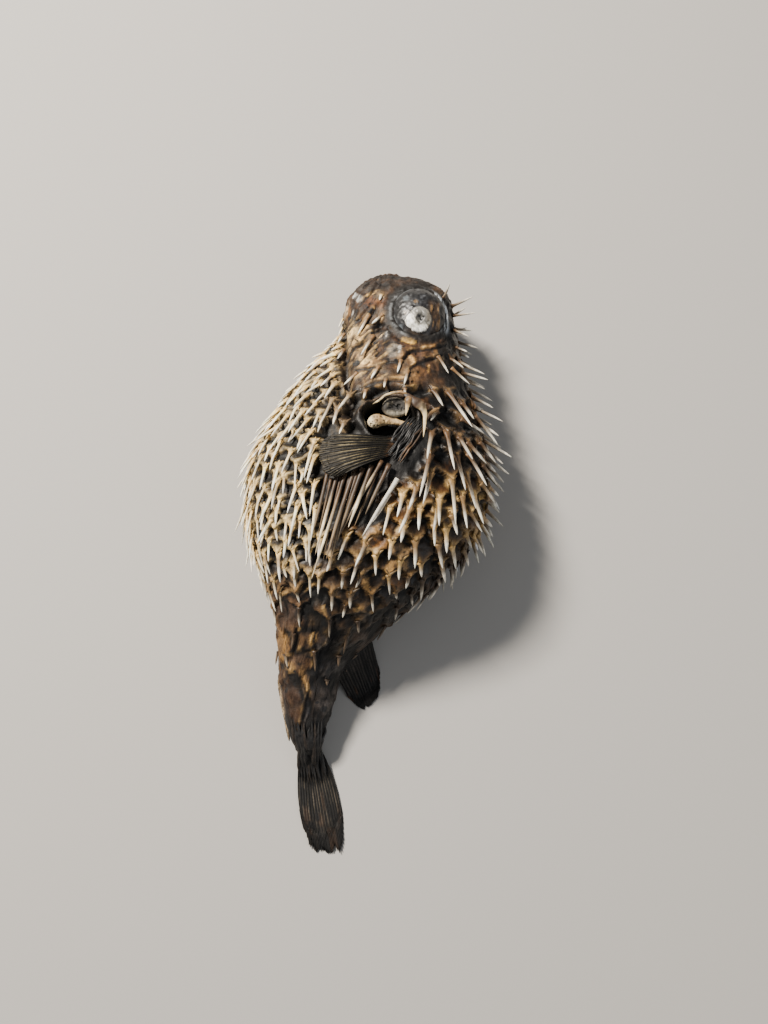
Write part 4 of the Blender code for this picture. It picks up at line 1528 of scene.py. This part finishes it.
def join_copies(name, groups):
    """One mesh from several groups of copies."""
    blocks, faces_of, laid, colours = zip(*groups)
    faces, first = [], 0
    for block, own_faces in zip(blocks, faces_of):
        faces += [tuple(corner + first for corner in face) for face in own_faces]
        first += len(block)
    made = mesh_object(name, np.concatenate(blocks), faces)
    layer = made.data.uv_layers.new(name="OFBake")
    layer.data.foreach_set("uv", np.concatenate(laid).astype(np.float32).ravel())
    set_colours(made, "tone", np.concatenate(colours))
    made.data.shade_smooth()
    return made


def spine_tones(roots, point):
    """Colours along each shaft: amber root, grey middle, pale end."""
    backward = np.cos(roots[:, ANGLE])
    y = point[:, 1]
    belly = smooth(-0.05, -0.45, backward)
    kind, luck = roots[:, KIND], roots[:, LUCK]
    count = len(roots)
    spread = 1 + rng.normal(0, 0.12, (count, 1))
    base = plain((760, 540, 250), count)
    tint(base, (360, 240, 120), smooth(0.6, 0.3, luck))
    tint(base, (170, 105, 56), smooth(-8, 12, y))
    tint(base, (840, 620, 290), belly)
    cheek = kind == CHEEK
    base[cheek] = (0.27, 0.17, 0.088)
    middle = plain((500, 410, 290), count)
    tint(middle, (920, 800, 560), belly)
    grey = smooth(0.45, 0.1, luck) * (1 - belly)
    tint(middle, (165, 125, 90), grey)
    tan = smooth(0.2, 0.05, luck) * belly
    tint(middle, (420, 310, 190), tan)
    middle[cheek] = (0.5, 0.38, 0.24)
    end = plain((930, 890, 790), count)
    # spines darker towards the tail, and painted shade on the lower rear flank
    rear_dim_and_shade = np.maximum(smooth(-26, -64, y), shaded_flank(point[:, 0], y, backward))
    tint(base, (85, 56, 34), rear_dim_and_shade)
    tint(middle, (150, 110, 78), rear_dim_and_shade * 0.92)
    tint(end, (600, 540, 440), rear_dim_and_shade * 0.6)
    tint(end, (170, 125, 85), smooth(-58, -72, y) * smooth(0.95, 0.6, luck))
    nape = smooth(-4, 14, y) * smooth(0.12, 0.42, backward)
    tint(middle, (240, 190, 140), nape * 0.6)
    tint(end, (660, 620, 540), nape * 0.6)
    worn = beside_gill(*point.T) * (kind != CHEEK)
    tint(base, (200, 140, 85), worn * 0.85)
    tint(middle, (340, 270, 190), worn * 0.85)
    tint(end, (720, 660, 550), worn * 0.8)
    # rods are pale or dark; the lower layer's are all dark, painted shade under the upper layer
    is_rod = kind == ROD
    pale = (roots[is_rod, LUCK] > 0.35)[:, None]
    base[is_rod] = (0.1, 0.062, 0.034)
    middle[is_rod] = np.where(pale, (0.38, 0.3, 0.195), (0.09, 0.066, 0.044))
    end[is_rod] = np.where(pale, (0.68, 0.59, 0.43), (0.23, 0.175, 0.115))
    for part in (base, middle, end):
        part[kind == PALE_ROD] = (0.8, 0.76, 0.67)
    return base * spread, middle * spread, np.clip(end * spread, 0, 0.95)


def shaft_colours(roots, base, middle, end):
    """Colours of the shafts' rings, a little uneven along each one."""
    shares = np.append(SHAFT[:, 0], 1)
    kind = roots[:, KIND]
    start = np.where(kind == ROD, 0.3, 0.1)
    start = np.where(kind == COMBED, 0.08 + 0.3 * np.mod(roots[:, LUCK] * 7.3, 1), start)
    start = np.where(kind == CHEEK, 0.3, start)
    rings = []
    for share in shares:
        first = smooth(start * 0.4, start * 2.2, np.full(len(roots), share))
        colour = mix(base, middle, first[:, None])
        colour = mix(colour, end, float(smooth(0.3, 0.72, share)))
        uneven = np.where(kind == ROD, 0.4, 0.07)[:, None]
        colour *= np.clip(1 + uneven * rng.normal(0, 1, (len(roots), 1)), 0.4, 1.5)
        if share > 0.97:
            colour = mix(colour, base, 0.35)
        sides = 1 if share == 1 else SIDES
        rings.append(np.repeat(colour[:, None], sides, 1))
    return np.concatenate(rings, 1)


def arm_colours(base, ends):
    steps = len(ARM_STEPS)
    rings = [np.repeat(mix(base, ends, (k / steps) ** 0.8)[:, None], len(ARM_RING), 1)
             for k in range(steps)]
    rings.append(ends[:, None])
    return np.concatenate(rings, 1)


def build_spines():
    """All spines as one joined coat, and their three-armed roots as a second mesh."""
    standing = ROOTS[ROOTS[:, LENGTH_OF] > 3]
    everything = np.concatenate((standing, RODS))
    point, tail, _, out = frames(everything[:, AT], everything[:, ANGLE])
    flow, beside = flow_of(point, tail, out)
    shafts = shaft_points(everything, point, flow, beside, out)
    base, middle, end = spine_tones(everything, point)
    steps = len(SHAFT)
    tones = shaft_colours(everything, base, middle, end)
    coat = join_copies("spines", [copies_of(shafts, tube_faces(SIDES, steps),
                                            tube_places(SIDES, steps, -1, 0.9), everything, tones)])

    groups = []
    arm_steps, arm_sides = len(ARM_STEPS), len(ARM_RING)
    y = point[:len(standing), 1]
    backward = np.cos(standing[:, ANGLE])
    armed = (standing[:, KIND] <= COMBED) & (y > -66) & (y < 84)
    for direction in (-1, 1, 0):
        chosen = armed if direction else armed & (backward < -0.2)
        roots = standing[chosen]
        block = arm_points(roots, direction)
        if direction != 1:
            arms = block[:, :-1].reshape(len(block), arm_steps, arm_sides, 3)
            block[:, :-1] = arms[:, :, ::-1].reshape(len(block), -1, 3)
        own = base[:len(standing)][chosen]
        belly = smooth(-0.05, -0.45, backward[chosen])[:, None]
        ends = own * mix(0.2, 0.72, belly)
        shift = 0.66 * (direction + 1)
        places = tube_places(arm_sides, arm_steps, -1 + shift, -0.45 + shift)
        groups.append(copies_of(block, tube_faces(arm_sides, arm_steps), places, roots,
                                arm_colours(own, ends)))
    return coat, join_copies("spine_roots", groups)


# ---------------- eyes

def build_eye(name, z, tilt, outward):
    """An eyeball, sunken and clouded, its front towards outward."""
    eye, ball = new_ball(name + "_ball", 230, 150)
    front = ball[:, 2] * outward
    px, py = (ball[:, :2] * np.array(EYE_HALF[:2])).T
    flat = np.column_stack((px, py, front * 6))
    swirl = noise(flat, 2.6, 51) + 0.5 * noise(flat, 1, 56)
    lens_x, lens_y = px - 0.1, py + 6.8
    fray = 0.3 * swirl + 0.25 * noise(flat, 0.8, 57)
    from_lens = np.hypot(lens_x, lens_y * 1.04) + fray
    from_lens += 0.6 * smooth(-2, -6, lens_y) * smooth(-1, -5, lens_x)
    from_lens += 1.5 * smooth(0, 4, lens_y) * smooth(-1.5, -5, lens_x)
    pit = np.hypot(px - 1, py + 6.6) + 0.5 * swirl
    rim = np.hypot(ball[:, 0], ball[:, 1])
    facing = smooth(0.1, 0.35, front)
    streaky = noise(np.column_stack((px + 0.6 * py, py * 0.5, front)), 0.9, 60)
    lift = 0.75 * smooth(7.5, 6.4, from_lens) + 0.2 * streaky * smooth(7.2, 5.5, from_lens)
    lift -= 1.1 * smooth(2.8, 1.2, pit)
    lift += 0.35 * noise(flat, 7, 52) + 0.24 * noise(flat, 1.5, 53)
    wander = px + 0.7 * noise(flat, 2.4, 58)
    wrinkle = noise(np.column_stack((wander, py * 0.2, front)), 0.85, 58)
    right_side = smooth(7.2, 8.2, from_lens) * smooth(4.5, 7, px)
    lift += 0.45 * wrinkle * right_side
    shape = ball * np.array(EYE_HALF)
    shape += ball * (lift * facing)[:, None]
    turn = np.array(Matrix.Rotation(math.radians(tilt), 3, "X"))
    placed = shape @ turn.T + np.array((EYE[0], EYE[1], z))

    grain = noise(flat, 0.8, 54)
    cloud = noise(flat, 3.6, 55) + 0.5 * noise(flat, 1.3, 69)
    colour = plain((28, 28, 31), len(ball))
    tint(colour, (125, 132, 142), smooth(0.15, 0.9, cloud + 0.4 * grain) * 0.85)
    tint(colour, (7, 7, 8), smooth(0, -0.7, cloud - 0.3 * grain) * 0.8)
    # painted shade on the right and upper rim of the eyeball
    shaded_eye_rim = smooth(0.8, 0.9, rim) * smooth(-4, 1, px + 0.4 * py)
    tint(colour, (12, 12, 13), shaded_eye_rim * 0.9)
    # painted highlight: a pale arc along the eyeball's left rim
    lit_eye_arc = bump(rim - 0.89, 0.06) * smooth(-1, -6, px)
    lit_eye_arc *= smooth(-0.5, 0.5, noise(flat, 1.6, 59) + 0.3)
    tint(colour, (280, 295, 305), lit_eye_arc * 0.6)
    for bx, by, size in ((-6.5, 6, 1.7), (-10, -10.5, 1.5)):
        away = np.hypot(px - bx, py - by) + 0.9 * swirl
        tint(colour, (170, 190, 205), smooth(size * 1.5, size * 0.6, away) * 0.8)
    zone = right_side * smooth(11, 7, abs(py + 4))
    tint(colour, (70, 43, 25), zone * smooth(13, 11.5, px) * 0.85)
    folded = zone * smooth(0.05, 0.65, wrinkle + 0.3 * grain)
    tint(colour, (290, 185, 85), folded * smooth(12.6, 11, px) * 0.75)
    speck = np.hypot(px + 1.5, (py - 3.4) * 1.2) + 0.8 * grain
    tint(colour, (240, 155, 75), smooth(1.9, 0.6, speck) * 0.85)
    below = bump(py + 14, 2.6) * bump(px + 1, 8)
    tint(colour, (105, 75, 52), below * 0.7)
    white = smooth(7.4, 6.9, from_lens)
    tint(colour, (380, 365, 320), white)
    crescent = smooth(2, -4.5, 0.4 * lens_x + 0.9 * lens_y)
    bright = smooth(-0.3, 0.2, streaky + 0.4 * grain + 0.5 * crescent)
    bright *= smooth(2.4, 4.2, pit)
    tint(colour, (1000, 980, 900), white * bright)
    corner = smooth(-2.5, 2, lens_x * 0.9 + lens_y) * smooth(8.5, 6, np.hypot(lens_x - 3, lens_y - 3.5))
    tint(colour, (250, 245, 225), white * corner * smooth(-1.1, -0.1, grain + 0.5 * streaky))
    side = smooth(3.6, 5.4, lens_x + 0.8 * swirl)
    tint(colour, (190, 165, 130), white * side * smooth(-0.9, -0.1, grain) * 0.9)
    scratch = smooth(0.13, 0.02, abs(streaky + 0.4 * grain))
    tint(colour, (300, 290, 260), white * scratch * 0.6)
    cloudy = smooth(3.7, 1.9, pit) * white
    tint(colour, (95, 94, 88), cloudy * 0.9)
    for dx, dy, size in ((1.5, -7.5, 1), (0.5, -5.8, 0.9), (0.1, -8.6, 0.5), (2.6, -6, 0.7),
                         (-6.8, -3.4, 0.5), (-6, -2.2, 0.45), (-7.6, -2.4, 0.4)):
        away = np.hypot(px - dx, py - dy) + 0.25 * grain
        chip = smooth(size * 2.1, size * 1.3, away) * (dx < -5)
        tint(colour, (500, 430, 350), chip * 0.85)
        tint(colour, (10, 10, 10), smooth(size, size * 0.5, away))
    return shaped(eye, placed, np.clip(colour * (1 + 0.2 * grain)[:, None], 0.003, 0.95))


# ---------------- fins

def fan(u, v, root, edge, bulge=0):
    """Points between a root line and a fin's outer edge line."""
    root, edge = np.array(root), np.array(edge)
    low = mix(root[0], root[1], u[:, None])
    high = mix(edge[0], edge[1], u[:, None])
    ray = unit(high - low)
    high += ray * (bulge * 4 * u * (1 - u))[:, None]
    return mix(low, high, v[:, None])


def pectoral_left(u, v):
    point = fan(u, v, ((16.6, 25.6, 79.5), (14, 16.2, 80)), ((-20, 25.2, 85.5), (-15.5, 2.4, 86)), 6.5)
    point[:, 2] += 4.5 * np.sin(math.pi * v) + 0.9 * np.sin(u * 9 + 0.8) * v * v
    return point


def pectoral_right(u, v):
    return fan(u, v, ((15, 28, 0.6), (15, 18.5, 0.6)), ((-20, 34, 0.6), (-20, 12, 0.6)), 3.5)


def tail_fin(u, v):
    point = fan(u, v, ((-36.5, -131, 6.5), (-27.5, -131, 6.5)), ((-34.5, -186, 0.6), (-11, -182, 0.6)),
                9.5)
    fall = np.minimum(1, v / 0.42)
    point[:, 2] = 0.6 + 6 * (1 - fall * fall * (3 - 2 * fall))
    belly = np.sin(math.pi * np.minimum(1, v * 1.1))
    point[:, 0] += -3 * belly * (1 - u) + 2.5 * belly * u
    point[:, 2] += 0.5 * (np.sin(u * 11) + 1) * smooth(0.2, 0.7, v)
    return point


def dorsal_fin(u, v):
    point = fan(u, v, ((2.5, -73.5, 16), (-17, -94, 14)), ((9.5, -100, 0.6), (-7.5, -112.5, 0.6)), 6.5)
    fall = np.minimum(1, v / 0.75)
    point[:, 2] = 0.6 + 14.5 * (1 - fall) ** 1.5
    return point


def anal_fin(u, v):
    point = fan(u, v, ((-43, -80, 13), (-42.5, -104, 10.5)), ((-51, -98, 1.6), (-44, -131, 0.8)), 1.5)
    fall = np.minimum(1, v / 0.8)
    point[:, 2] = 0.6 + 10 * (1 - fall) ** 1.3
    return point


# Each fin's shape, rays, rows of the grid, ragged edge and round corners, with
# the colours of its membrane, rays and base in thousandths
FINS = {
    "pectoral_fin_left": (pectoral_left, 12, 110, 2.6, 0.06,
                          (15, 12, 9), (500, 425, 270),
                          (145, 78, 36)),
    "pectoral_fin_right": (pectoral_right, 14, 40, 1, 0,
                           (18, 14, 9), (520, 440, 270),
                           (120, 65, 30)),
    "tail_fin": (tail_fin, 15, 120, 8, 0.12, (8, 7, 6),
                 (190, 160, 125), (18, 14, 11)),
    "dorsal_fin": (dorsal_fin, 14, 80, 6, 0.28, (6, 6, 6),
                   (88, 74, 64), (12, 12, 12)),
    "anal_fin": (anal_fin, 12, 50, 1.2, 0, (60, 38, 22),
                 (200, 140, 85), (60, 38, 22)),
}


def build_fin(name):
    """A dried fin: a thin web over branching rays, ragged at its edge."""
    shape, rays, rows, ragged, corner, web, ray_colour, base = FINS[name]
    across = rays * 8
    fin = new_primitive(name + "_web", bpy.ops.mesh.primitive_grid_add, x_subdivisions=across,
                        y_subdivisions=rows, size=1)
    grid = get_points(fin)
    u, v = grid[:, 0] + 0.5, grid[:, 1] + 0.5
    flat = np.column_stack((u * 40, v * 40, np.zeros(len(u))))
    wander = 0.42 * noise(flat, (9, 14, 1), 61) * v
    phase = u * rays + wander
    stem = np.abs(np.sin(math.pi * phase))
    twin = np.abs(np.sin(math.pi * phase * 2))
    split = smooth(0.55, 0.95, v)
    ray = mix(smooth(0.35, 0.85, stem), smooth(0.35, 0.9, twin) * 0.9, split)
    tips = mix(stem, twin, split)
    torn = ragged * (0.35 * (1 - tips) + 0.5 * (noise(flat, (5, 1, 1), 62) + 0.4))
    reach = 1 - smooth(0.75, 1, v) * torn / 36
    reach -= corner * np.abs(2 * u - 1) ** 5 * smooth(0.3, 1, v)
    point = shape(u, v * reach)
    ahead = shape(u, v * reach + 0.004) - shape(u, v * reach - 0.004)
    beside = shape(u + 0.004, v * reach) - shape(u - 0.004, v * reach)
    normal = unit(np.cross(unit(beside), unit(ahead)))
    relief = 0.42 * (ray - 0.4) * smooth(0, 0.15, v)
    relief += 0.25 * noise(flat, (7, 11, 1), 63)
    point += normal * relief[:, None]
    point[:, 2] = np.maximum(point[:, 2], 0.45)

    grain = noise(flat, (1.2, 5, 1), 64)
    joints = 0.9 + 0.1 * np.sin(v * 80 + 3 * grain)
    colour = plain(web, len(u))
    uneven = 0.5 + 0.6 * noise(np.column_stack((np.floor(u * rays * 2), v * 3, v * 0)), 1, 65)
    pale = smooth(0.35, 0.7, ray) * joints * smooth(-1.2, 0, grain)
    pale *= mix(1, 0.42, smooth(0.4, 0.9, v + 0.1 * grain))
    tint(colour, ray_colour, np.clip(pale * uneven, 0, 1))
    tint(colour, base, smooth(0.15, 0.03, v + 0.05 * grain) * 0.85)
    if name == "tail_fin":
        where = np.column_stack((u * 26, v * 52, np.zeros(len(u))))
        blot = smooth(0.12, 0.45, noise(where, (3.4, 5, 1), 66))
        tint(colour, (10, 9, 9), blot * 0.85)
        rust = smooth(0.2, 0.6, noise(where, (4, 9, 1), 67))
        tint(colour, (110, 64, 36), rust * 0.3 * (1 - blot))
    if name == "anal_fin":
        outer = np.maximum(smooth(0.3, 0.05, u), smooth(0.7, 0.92, v))
        tint(colour, (460, 365, 250), outer * smooth(-0.8, 0.2, grain) * 0.9)
    if name == "dorsal_fin":
        rust = smooth(0.25, 0.7, noise(flat, (3, 12, 1), 68))
        tint(colour, (135, 60, 22), rust * 0.65 * smooth(0.35, 0.7, v))
    shaped(fin, point, np.clip(colour, 0.002, 1))
    wall = fin.modifiers.new("wall", "SOLIDIFY")
    wall.thickness = FIN_WALL * MM
    wall.offset = 0
    apply_all(fin)
    fin.data.shade_smooth()
    return fin


# ---------------- bones

def build_bone():
    """The pitted shoulder bone that crosses the open gill chamber."""
    bone, ball = new_ball("gill_bone", 72, 90)
    start, end = np.array((1, 34.9, 72.6)), np.array((25.4, 36, 71.4))
    axis = unit(end - start)
    side = unit(np.cross(axis, (0, 0, 1)))
    high = np.cross(side, axis)
    along = ball[:, 2]
    girth = 1.75 + 2.1 * bump(along + 0.66, 0.48)
    around = ways_round(ball)
    round_end = np.sqrt(np.clip(1 - np.abs(along) ** 7, 0, 1))
    radial = girth * round_end
    centre = (start + end) / 2 + axis * (along * np.linalg.norm(end - start) / 2)[:, None]
    sag = side * (1.5 * np.cos(along * 2.2 + 0.9))[:, None]
    point = centre - sag + side * (around[:, 0] * radial)[:, None]
    point += high * (around[:, 1] * radial)[:, None]
    lumps = 0.5 * rough(point, 4.2, 71) + 0.16 * noise(point, 1.1, 72)
    outward = unit(point - (centre - sag))
    pits = smooth(0.3, 0.6, noise(point, 0.95, 73)) * smooth(0.6, -0.5, along)
    point += outward * (lumps - 0.6 * pits)[:, None]
    colour = plain((600, 460, 270), len(ball))
    tint(colour, (740, 640, 450), smooth(-0.4, -0.85, along))
    tint(colour, (240, 145, 65), smooth(0.5, 0.95, along))
    tint(colour, (260, 160, 80), smooth(0, 0.6, noise(point, 2.6, 74)) * 0.65)
    tint(colour, (35, 22, 13), pits * 0.9)
    return shaped(bone, point, colour)


def build_plate():
    """The porous grey gill plate, an oval with a paler lower rim."""
    plate, ball = new_ball("gill_cover_plate", 96, 64)
    point = ball * np.array((7.4, 5.6, 3.4)) + np.array((16.2, 43.9, 72.8))
    middle = smooth(0.95, 0.35, np.hypot(ball[:, 0], ball[:, 1]))
    holes = smooth(0, 0.35, noise(point, 1.25, 75))
    point -= ball * (middle * (1.6 + holes))[:, None]
    point += ball * (0.3 * noise(point, 3, 76))[:, None]
    colour = plain((60, 52, 43), len(ball))
    tint(colour, (5, 5, 5), np.clip(middle * 1.3, 0, 1) * (0.55 + 0.45 * holes))
    pale = smooth(-0.3, -0.75, ball[:, 1]) * (1 - middle)
    tint(colour, (330, 305, 245), pale * 0.9)
    tint(colour, (420, 370, 280), smooth(0.1, 0.6, noise(point, 1.3, 80)) * (1 - middle) * 0.5)
    return shaped(plate, point, colour)


def strap(name, path, widths, flatness, colour_of, seed):
    """A dried strap along a bent path, tapering at both ends."""
    path = np.array(path)
    steps = 52
    share = np.linspace(0, len(path) - 1, steps)
    fine = np.column_stack([np.interp(share, range(len(path)), path[:, k]) for k in range(3)])
    for _ in range(4):
        fine[1:-1] = (fine[:-2] + fine[2:] + 2 * fine[1:-1]) / 4
    made, ball = new_ball(name, 24, steps)
    ring = np.rint(np.arccos(np.clip(ball[:, 2], -1, 1)) / math.pi * steps)
    at = np.clip(ring, 0, steps - 1).astype(int)
    ahead = unit(np.gradient(fine, axis=0))[at]
    side = unit(np.cross(ahead, (0, 0, 1)))
    high = np.cross(side, ahead)
    around = ways_round(ball)
    width = np.interp(ring / steps, np.linspace(0, 1, len(widths)), widths)
    width *= 1 + 0.25 * noise(fine[at], 4, seed)
    width *= np.sqrt(np.clip(np.sin(math.pi * ring / steps) * 3, 0, 1))
    point = (fine[at] + side * (around[:, 0] * width)[:, None]
             + high * (around[:, 1] * width * flatness)[:, None])
    point += 0.22 * noise(point, 1.8, seed + 1)[:, None] * high
    return shaped(made, point, colour_of(point, ring / steps))


def shaded_strap(near, end):
    """Colours that run from one tone to another along a strap."""
    def colour_of(point, share):
        colour = plain(near, len(point))
        tint(colour, end, smooth(0.35, 0.75, share))
        dark = tuple(value / 4 for value in near)
        tint(colour, dark, smooth(0, -0.6, noise(point, 1.8, 83)) * 0.7)
        return colour
    return colour_of


# Tones of the straps, in thousandths
BROWN = (75, 43, 22)
TAN = (300, 195, 95)
CREAM = (780, 640, 400)


def build_arches():
    """The thin edge over the gill chamber, and the thorns beside it."""
    yield strap("gill_arch", ((3.8, 44.6, 76.4), (7.1, 46.2, 77.2), (10.4, 49, 77.6), (14.4, 50.2, 78.2),
                              (19, 50.6, 78.8), (22, 49.2, 79.2)), (0.25, 0.55, 0.7, 0.75, 0.9, 0.6), 0.7,
                shaded_strap(CREAM, TAN), 77)
    yield strap("gill_sheet", ((19, 50.4, 78.4), (23, 48, 79.4), (26.4, 45, 79.8), (29.8, 42.2, 79.8),
                               (31.4, 38, 80), (31, 32, 80.8), (30.3, 25.6, 81.6)),
                (0.8, 1.5, 2.1, 2.3, 1.8, 1.2, 0.9, 0.6, 0.15), 0.3, shaded_strap(BROWN, CREAM), 90)
    yield strap("gill_branch", ((39.5, 43, 75.2), (36.4, 41, 77.2), (33.6, 38, 79), (31.6, 34, 80)),
                (0.3, 0.9, 1.1, 1, 0.5), 0.6, shaded_strap(TAN, BROWN), 91)
    yield strap("gill_thorn", ((22.9, 48, 79.6), (22.6, 44.8, 79.9), (21.9, 41, 79.8),
                               (21.2, 37.6, 79.4)), (1.6, 2, 1.4, 0.9, 0.5, 0.15), 0.6,
                shaded_strap(TAN, CREAM), 84)
    for k in range(AXIL_FOLDS):
        off = (k - (AXIL_FOLDS - 1) / 2) * 0.95 + rng.normal(0, 0.2)
        path = []
        for share in np.linspace(0, 1, 7):
            x = 28.5 - 15 * share + 0.83 * off + rng.normal(0, 0.45)
            y = 36.5 - 22 * share - 0.55 * off + rng.normal(0, 0.45)
            spot = skin_at(distance_of(y), angle_of(x, y))
            path.append((x, y, spot[2] - 1.5 + rng.normal(0, 0.25)))
        near, far = (34, 33, 33), (17, 16, 16)
        if k > 9:
            near, far = (70, 45, 28), (150, 92, 50)
        yield strap("axil_fold", path, (0.1, 0.45, 0.6, 0.45, 0.6, 0.4, 0.1), 1, shaded_strap(near, far),
                    92 + k)


def build_fringe():
    """Fibres that run from the stalk's end down onto the tail fin."""
    for k in range(FRINGE_FIBRES):
        share = k / (FRINGE_FIBRES - 1)
        path = []
        for y, left, right, lift in ((-119 + rng.normal(0, 2), -41.5, -22, -0.9), (-126, -40, -23, -0.5),
                                     (-130.5, -38.8, -24.4, -0.3), (-134.5, -37.4, -25.6, -1.2)):
            x = mix(left, right, share) + rng.normal(0, 0.3)
            spot = skin_at(distance_of(y), angle_of(x, y))
            path.append((x, y, max(spot[2] + lift, 9)))
        for y, left, right, z in ((-139, -37.2, -25.4, 7.4), (-145, -37.8, -23.8, 4),
                                  (-153, -37.6, -22, 2.3)):
            x = mix(left, right, share) + rng.normal(0, 0.4)
            path.append((x, y + rng.normal(0, 1.8), z + rng.normal(0, 0.2)))
        near, far = (34, 32, 32), (20, 17, 15)
        if k in (0, 4, 7):
            near, far = (54, 42, 34), (36, 27, 20)
        yield strap("tail_fringe", path, (0.1, 0.9, 1.3, 1.3, 1.2, 0.8, 0.1), 0.55,
                    shaded_strap(near, far), 110 + k)


def build_beak(name, side):
    """One jaw plate: half of a rounded bill, worn along its biting edge."""
    beak, _ = new_ball(name + "_plate", 64, 48)
    bpy.ops.object.mode_set(mode="EDIT")
    bpy.ops.mesh.select_all(action="SELECT")
    bpy.ops.mesh.bisect(plane_co=(side * 0.05, 0, 0), plane_no=(-side, 0, 0), use_fill=True,
                        clear_outer=True)
    bpy.ops.object.mode_set(mode="OBJECT")
    ball = get_points(beak)
    point = ball * np.array((5.9, 9.9, 11.9)) + np.array((12.5, 123.5, 29))
    ridges = 0.1 * np.sin(point[:, 0] * 5 + noise(point, 3, 81))
    point += ball * (ridges + 0.08 * noise(point, 1.5, 82))[:, None]
    set_points(beak, point)
    beak.data.shade_smooth()
    beak.data.set_sharp_from_angle(angle=math.radians(40))
    return beak


# ---------------- room

def build_floor():
    floor = new_primitive("floor", bpy.ops.mesh.primitive_plane_add, size=6)
    made, _, shader = new_material("pale_floor")
    shader.inputs["Base Color"].default_value = (0.41, 0.395, 0.375, 1)
    shader.inputs["Roughness"].default_value = 0.9
    floor.data.materials.append(made)


def area_light(name, place, target, size, power, colour):
    data = bpy.data.lights.new(name, "AREA")
    data.size = size
    data.energy = power
    data.color = colour
    lamp = bpy.data.objects.new(name, data)
    lamp.location = place
    lamp.rotation_euler = (Vector(target) - Vector(place)).to_track_quat("-Z", "Y").to_euler()
    bpy.context.scene.collection.objects.link(lamp)


def light_room():
    world = bpy.data.worlds.new("studio")
    world.use_nodes = True
    glow = world.node_tree.nodes["Background"]
    glow.inputs["Color"].default_value = (0.95, 0.97, 1, 1)
    glow.inputs["Strength"].default_value = 0.23
    bpy.context.scene.world = world
    middle = (0, -0.02, 0.03)
    area_light("key", (-0.85, 0.8, 1.25), middle, 0.32, 90, (1, 0.93, 0.83))
    area_light("fill", (1.1, -0.6, 1.1), middle, 1.1, 5.6, (0.92, 0.96, 1))


CAMERA_AIM = (9.9, -6.6, 40)
CAMERA_AWAY = 604
CAMERA_HEIGHT = 80         # degrees above the floor's plane
CAMERA_VIEW = 50           # degrees from the top to the bottom of the view


def place_camera():
    data = bpy.data.cameras.new("camera")
    data.sensor_fit = "VERTICAL"
    data.angle_y = math.radians(CAMERA_VIEW)
    data.clip_start = 0.01
    camera = bpy.data.objects.new("camera", data)
    high = math.radians(CAMERA_HEIGHT)
    back = Vector((0, -math.cos(high), math.sin(high)))
    camera.location = (Vector(CAMERA_AIM) + back * CAMERA_AWAY) * MM
    camera.rotation_euler = (-back).to_track_quat("-Z", "Y").to_euler()
    bpy.context.scene.collection.objects.link(camera)
    bpy.context.scene.camera = camera


# ---------------- the fish

def main():
    skin = build_skin()
    dress(skin, skin_material(), "trunk_skin", "head", "trunk", "tail_stalk")
    spine_finish = toned_material("spine_bone", 0.45, 0.22, 0.5, {"Specular IOR Level": 0.45})
    for piece in build_spines():
        dress(piece, spine_finish, "spines")
    eye_finish = toned_material("dried_eye", 0.38, 0.18, 0.44,
                                {"Coat Weight": 0.08, "Coat Roughness": 0.25})
    for name, tilt, outward in (("eye_left", -EYE_TILT, 1), ("eye_right", EYE_TILT, -1)):
        eye = build_eye(name, EYE_Z[name], tilt, outward)
        dress(eye, eye_finish, "eye", name)
    fin_finish = fin_material("dried_fin")
    for name in FINS:
        slot = "fin_pale" if name == "anal_fin" else "fin"
        dress(build_fin(name), fin_finish, slot, name)
    dress(build_bone(), fin_material("pitted_bone"), "bone", "shoulder_bone")
    dress(build_plate(), fin_material("porous_plate"), "gill_plate", "gill_plate")
    for piece in (*build_arches(), *build_fringe()):
        own = "axil" in piece.name or "fringe" in piece.name
        dress(piece, spine_finish, "trunk_skin" if own else "spines")
    beak_finish = bone_material("beak_plate", (0.5, 0.43, 0.31), 0.4, 0.4, 300, (0.4, 0.33, 0.22))
    for name, side in (("beak_upper", 1), ("beak_lower", -1)):
        dress(build_beak(name, side), beak_finish, "beak", name)
    build_floor()
    light_room()
    place_camera()


main()
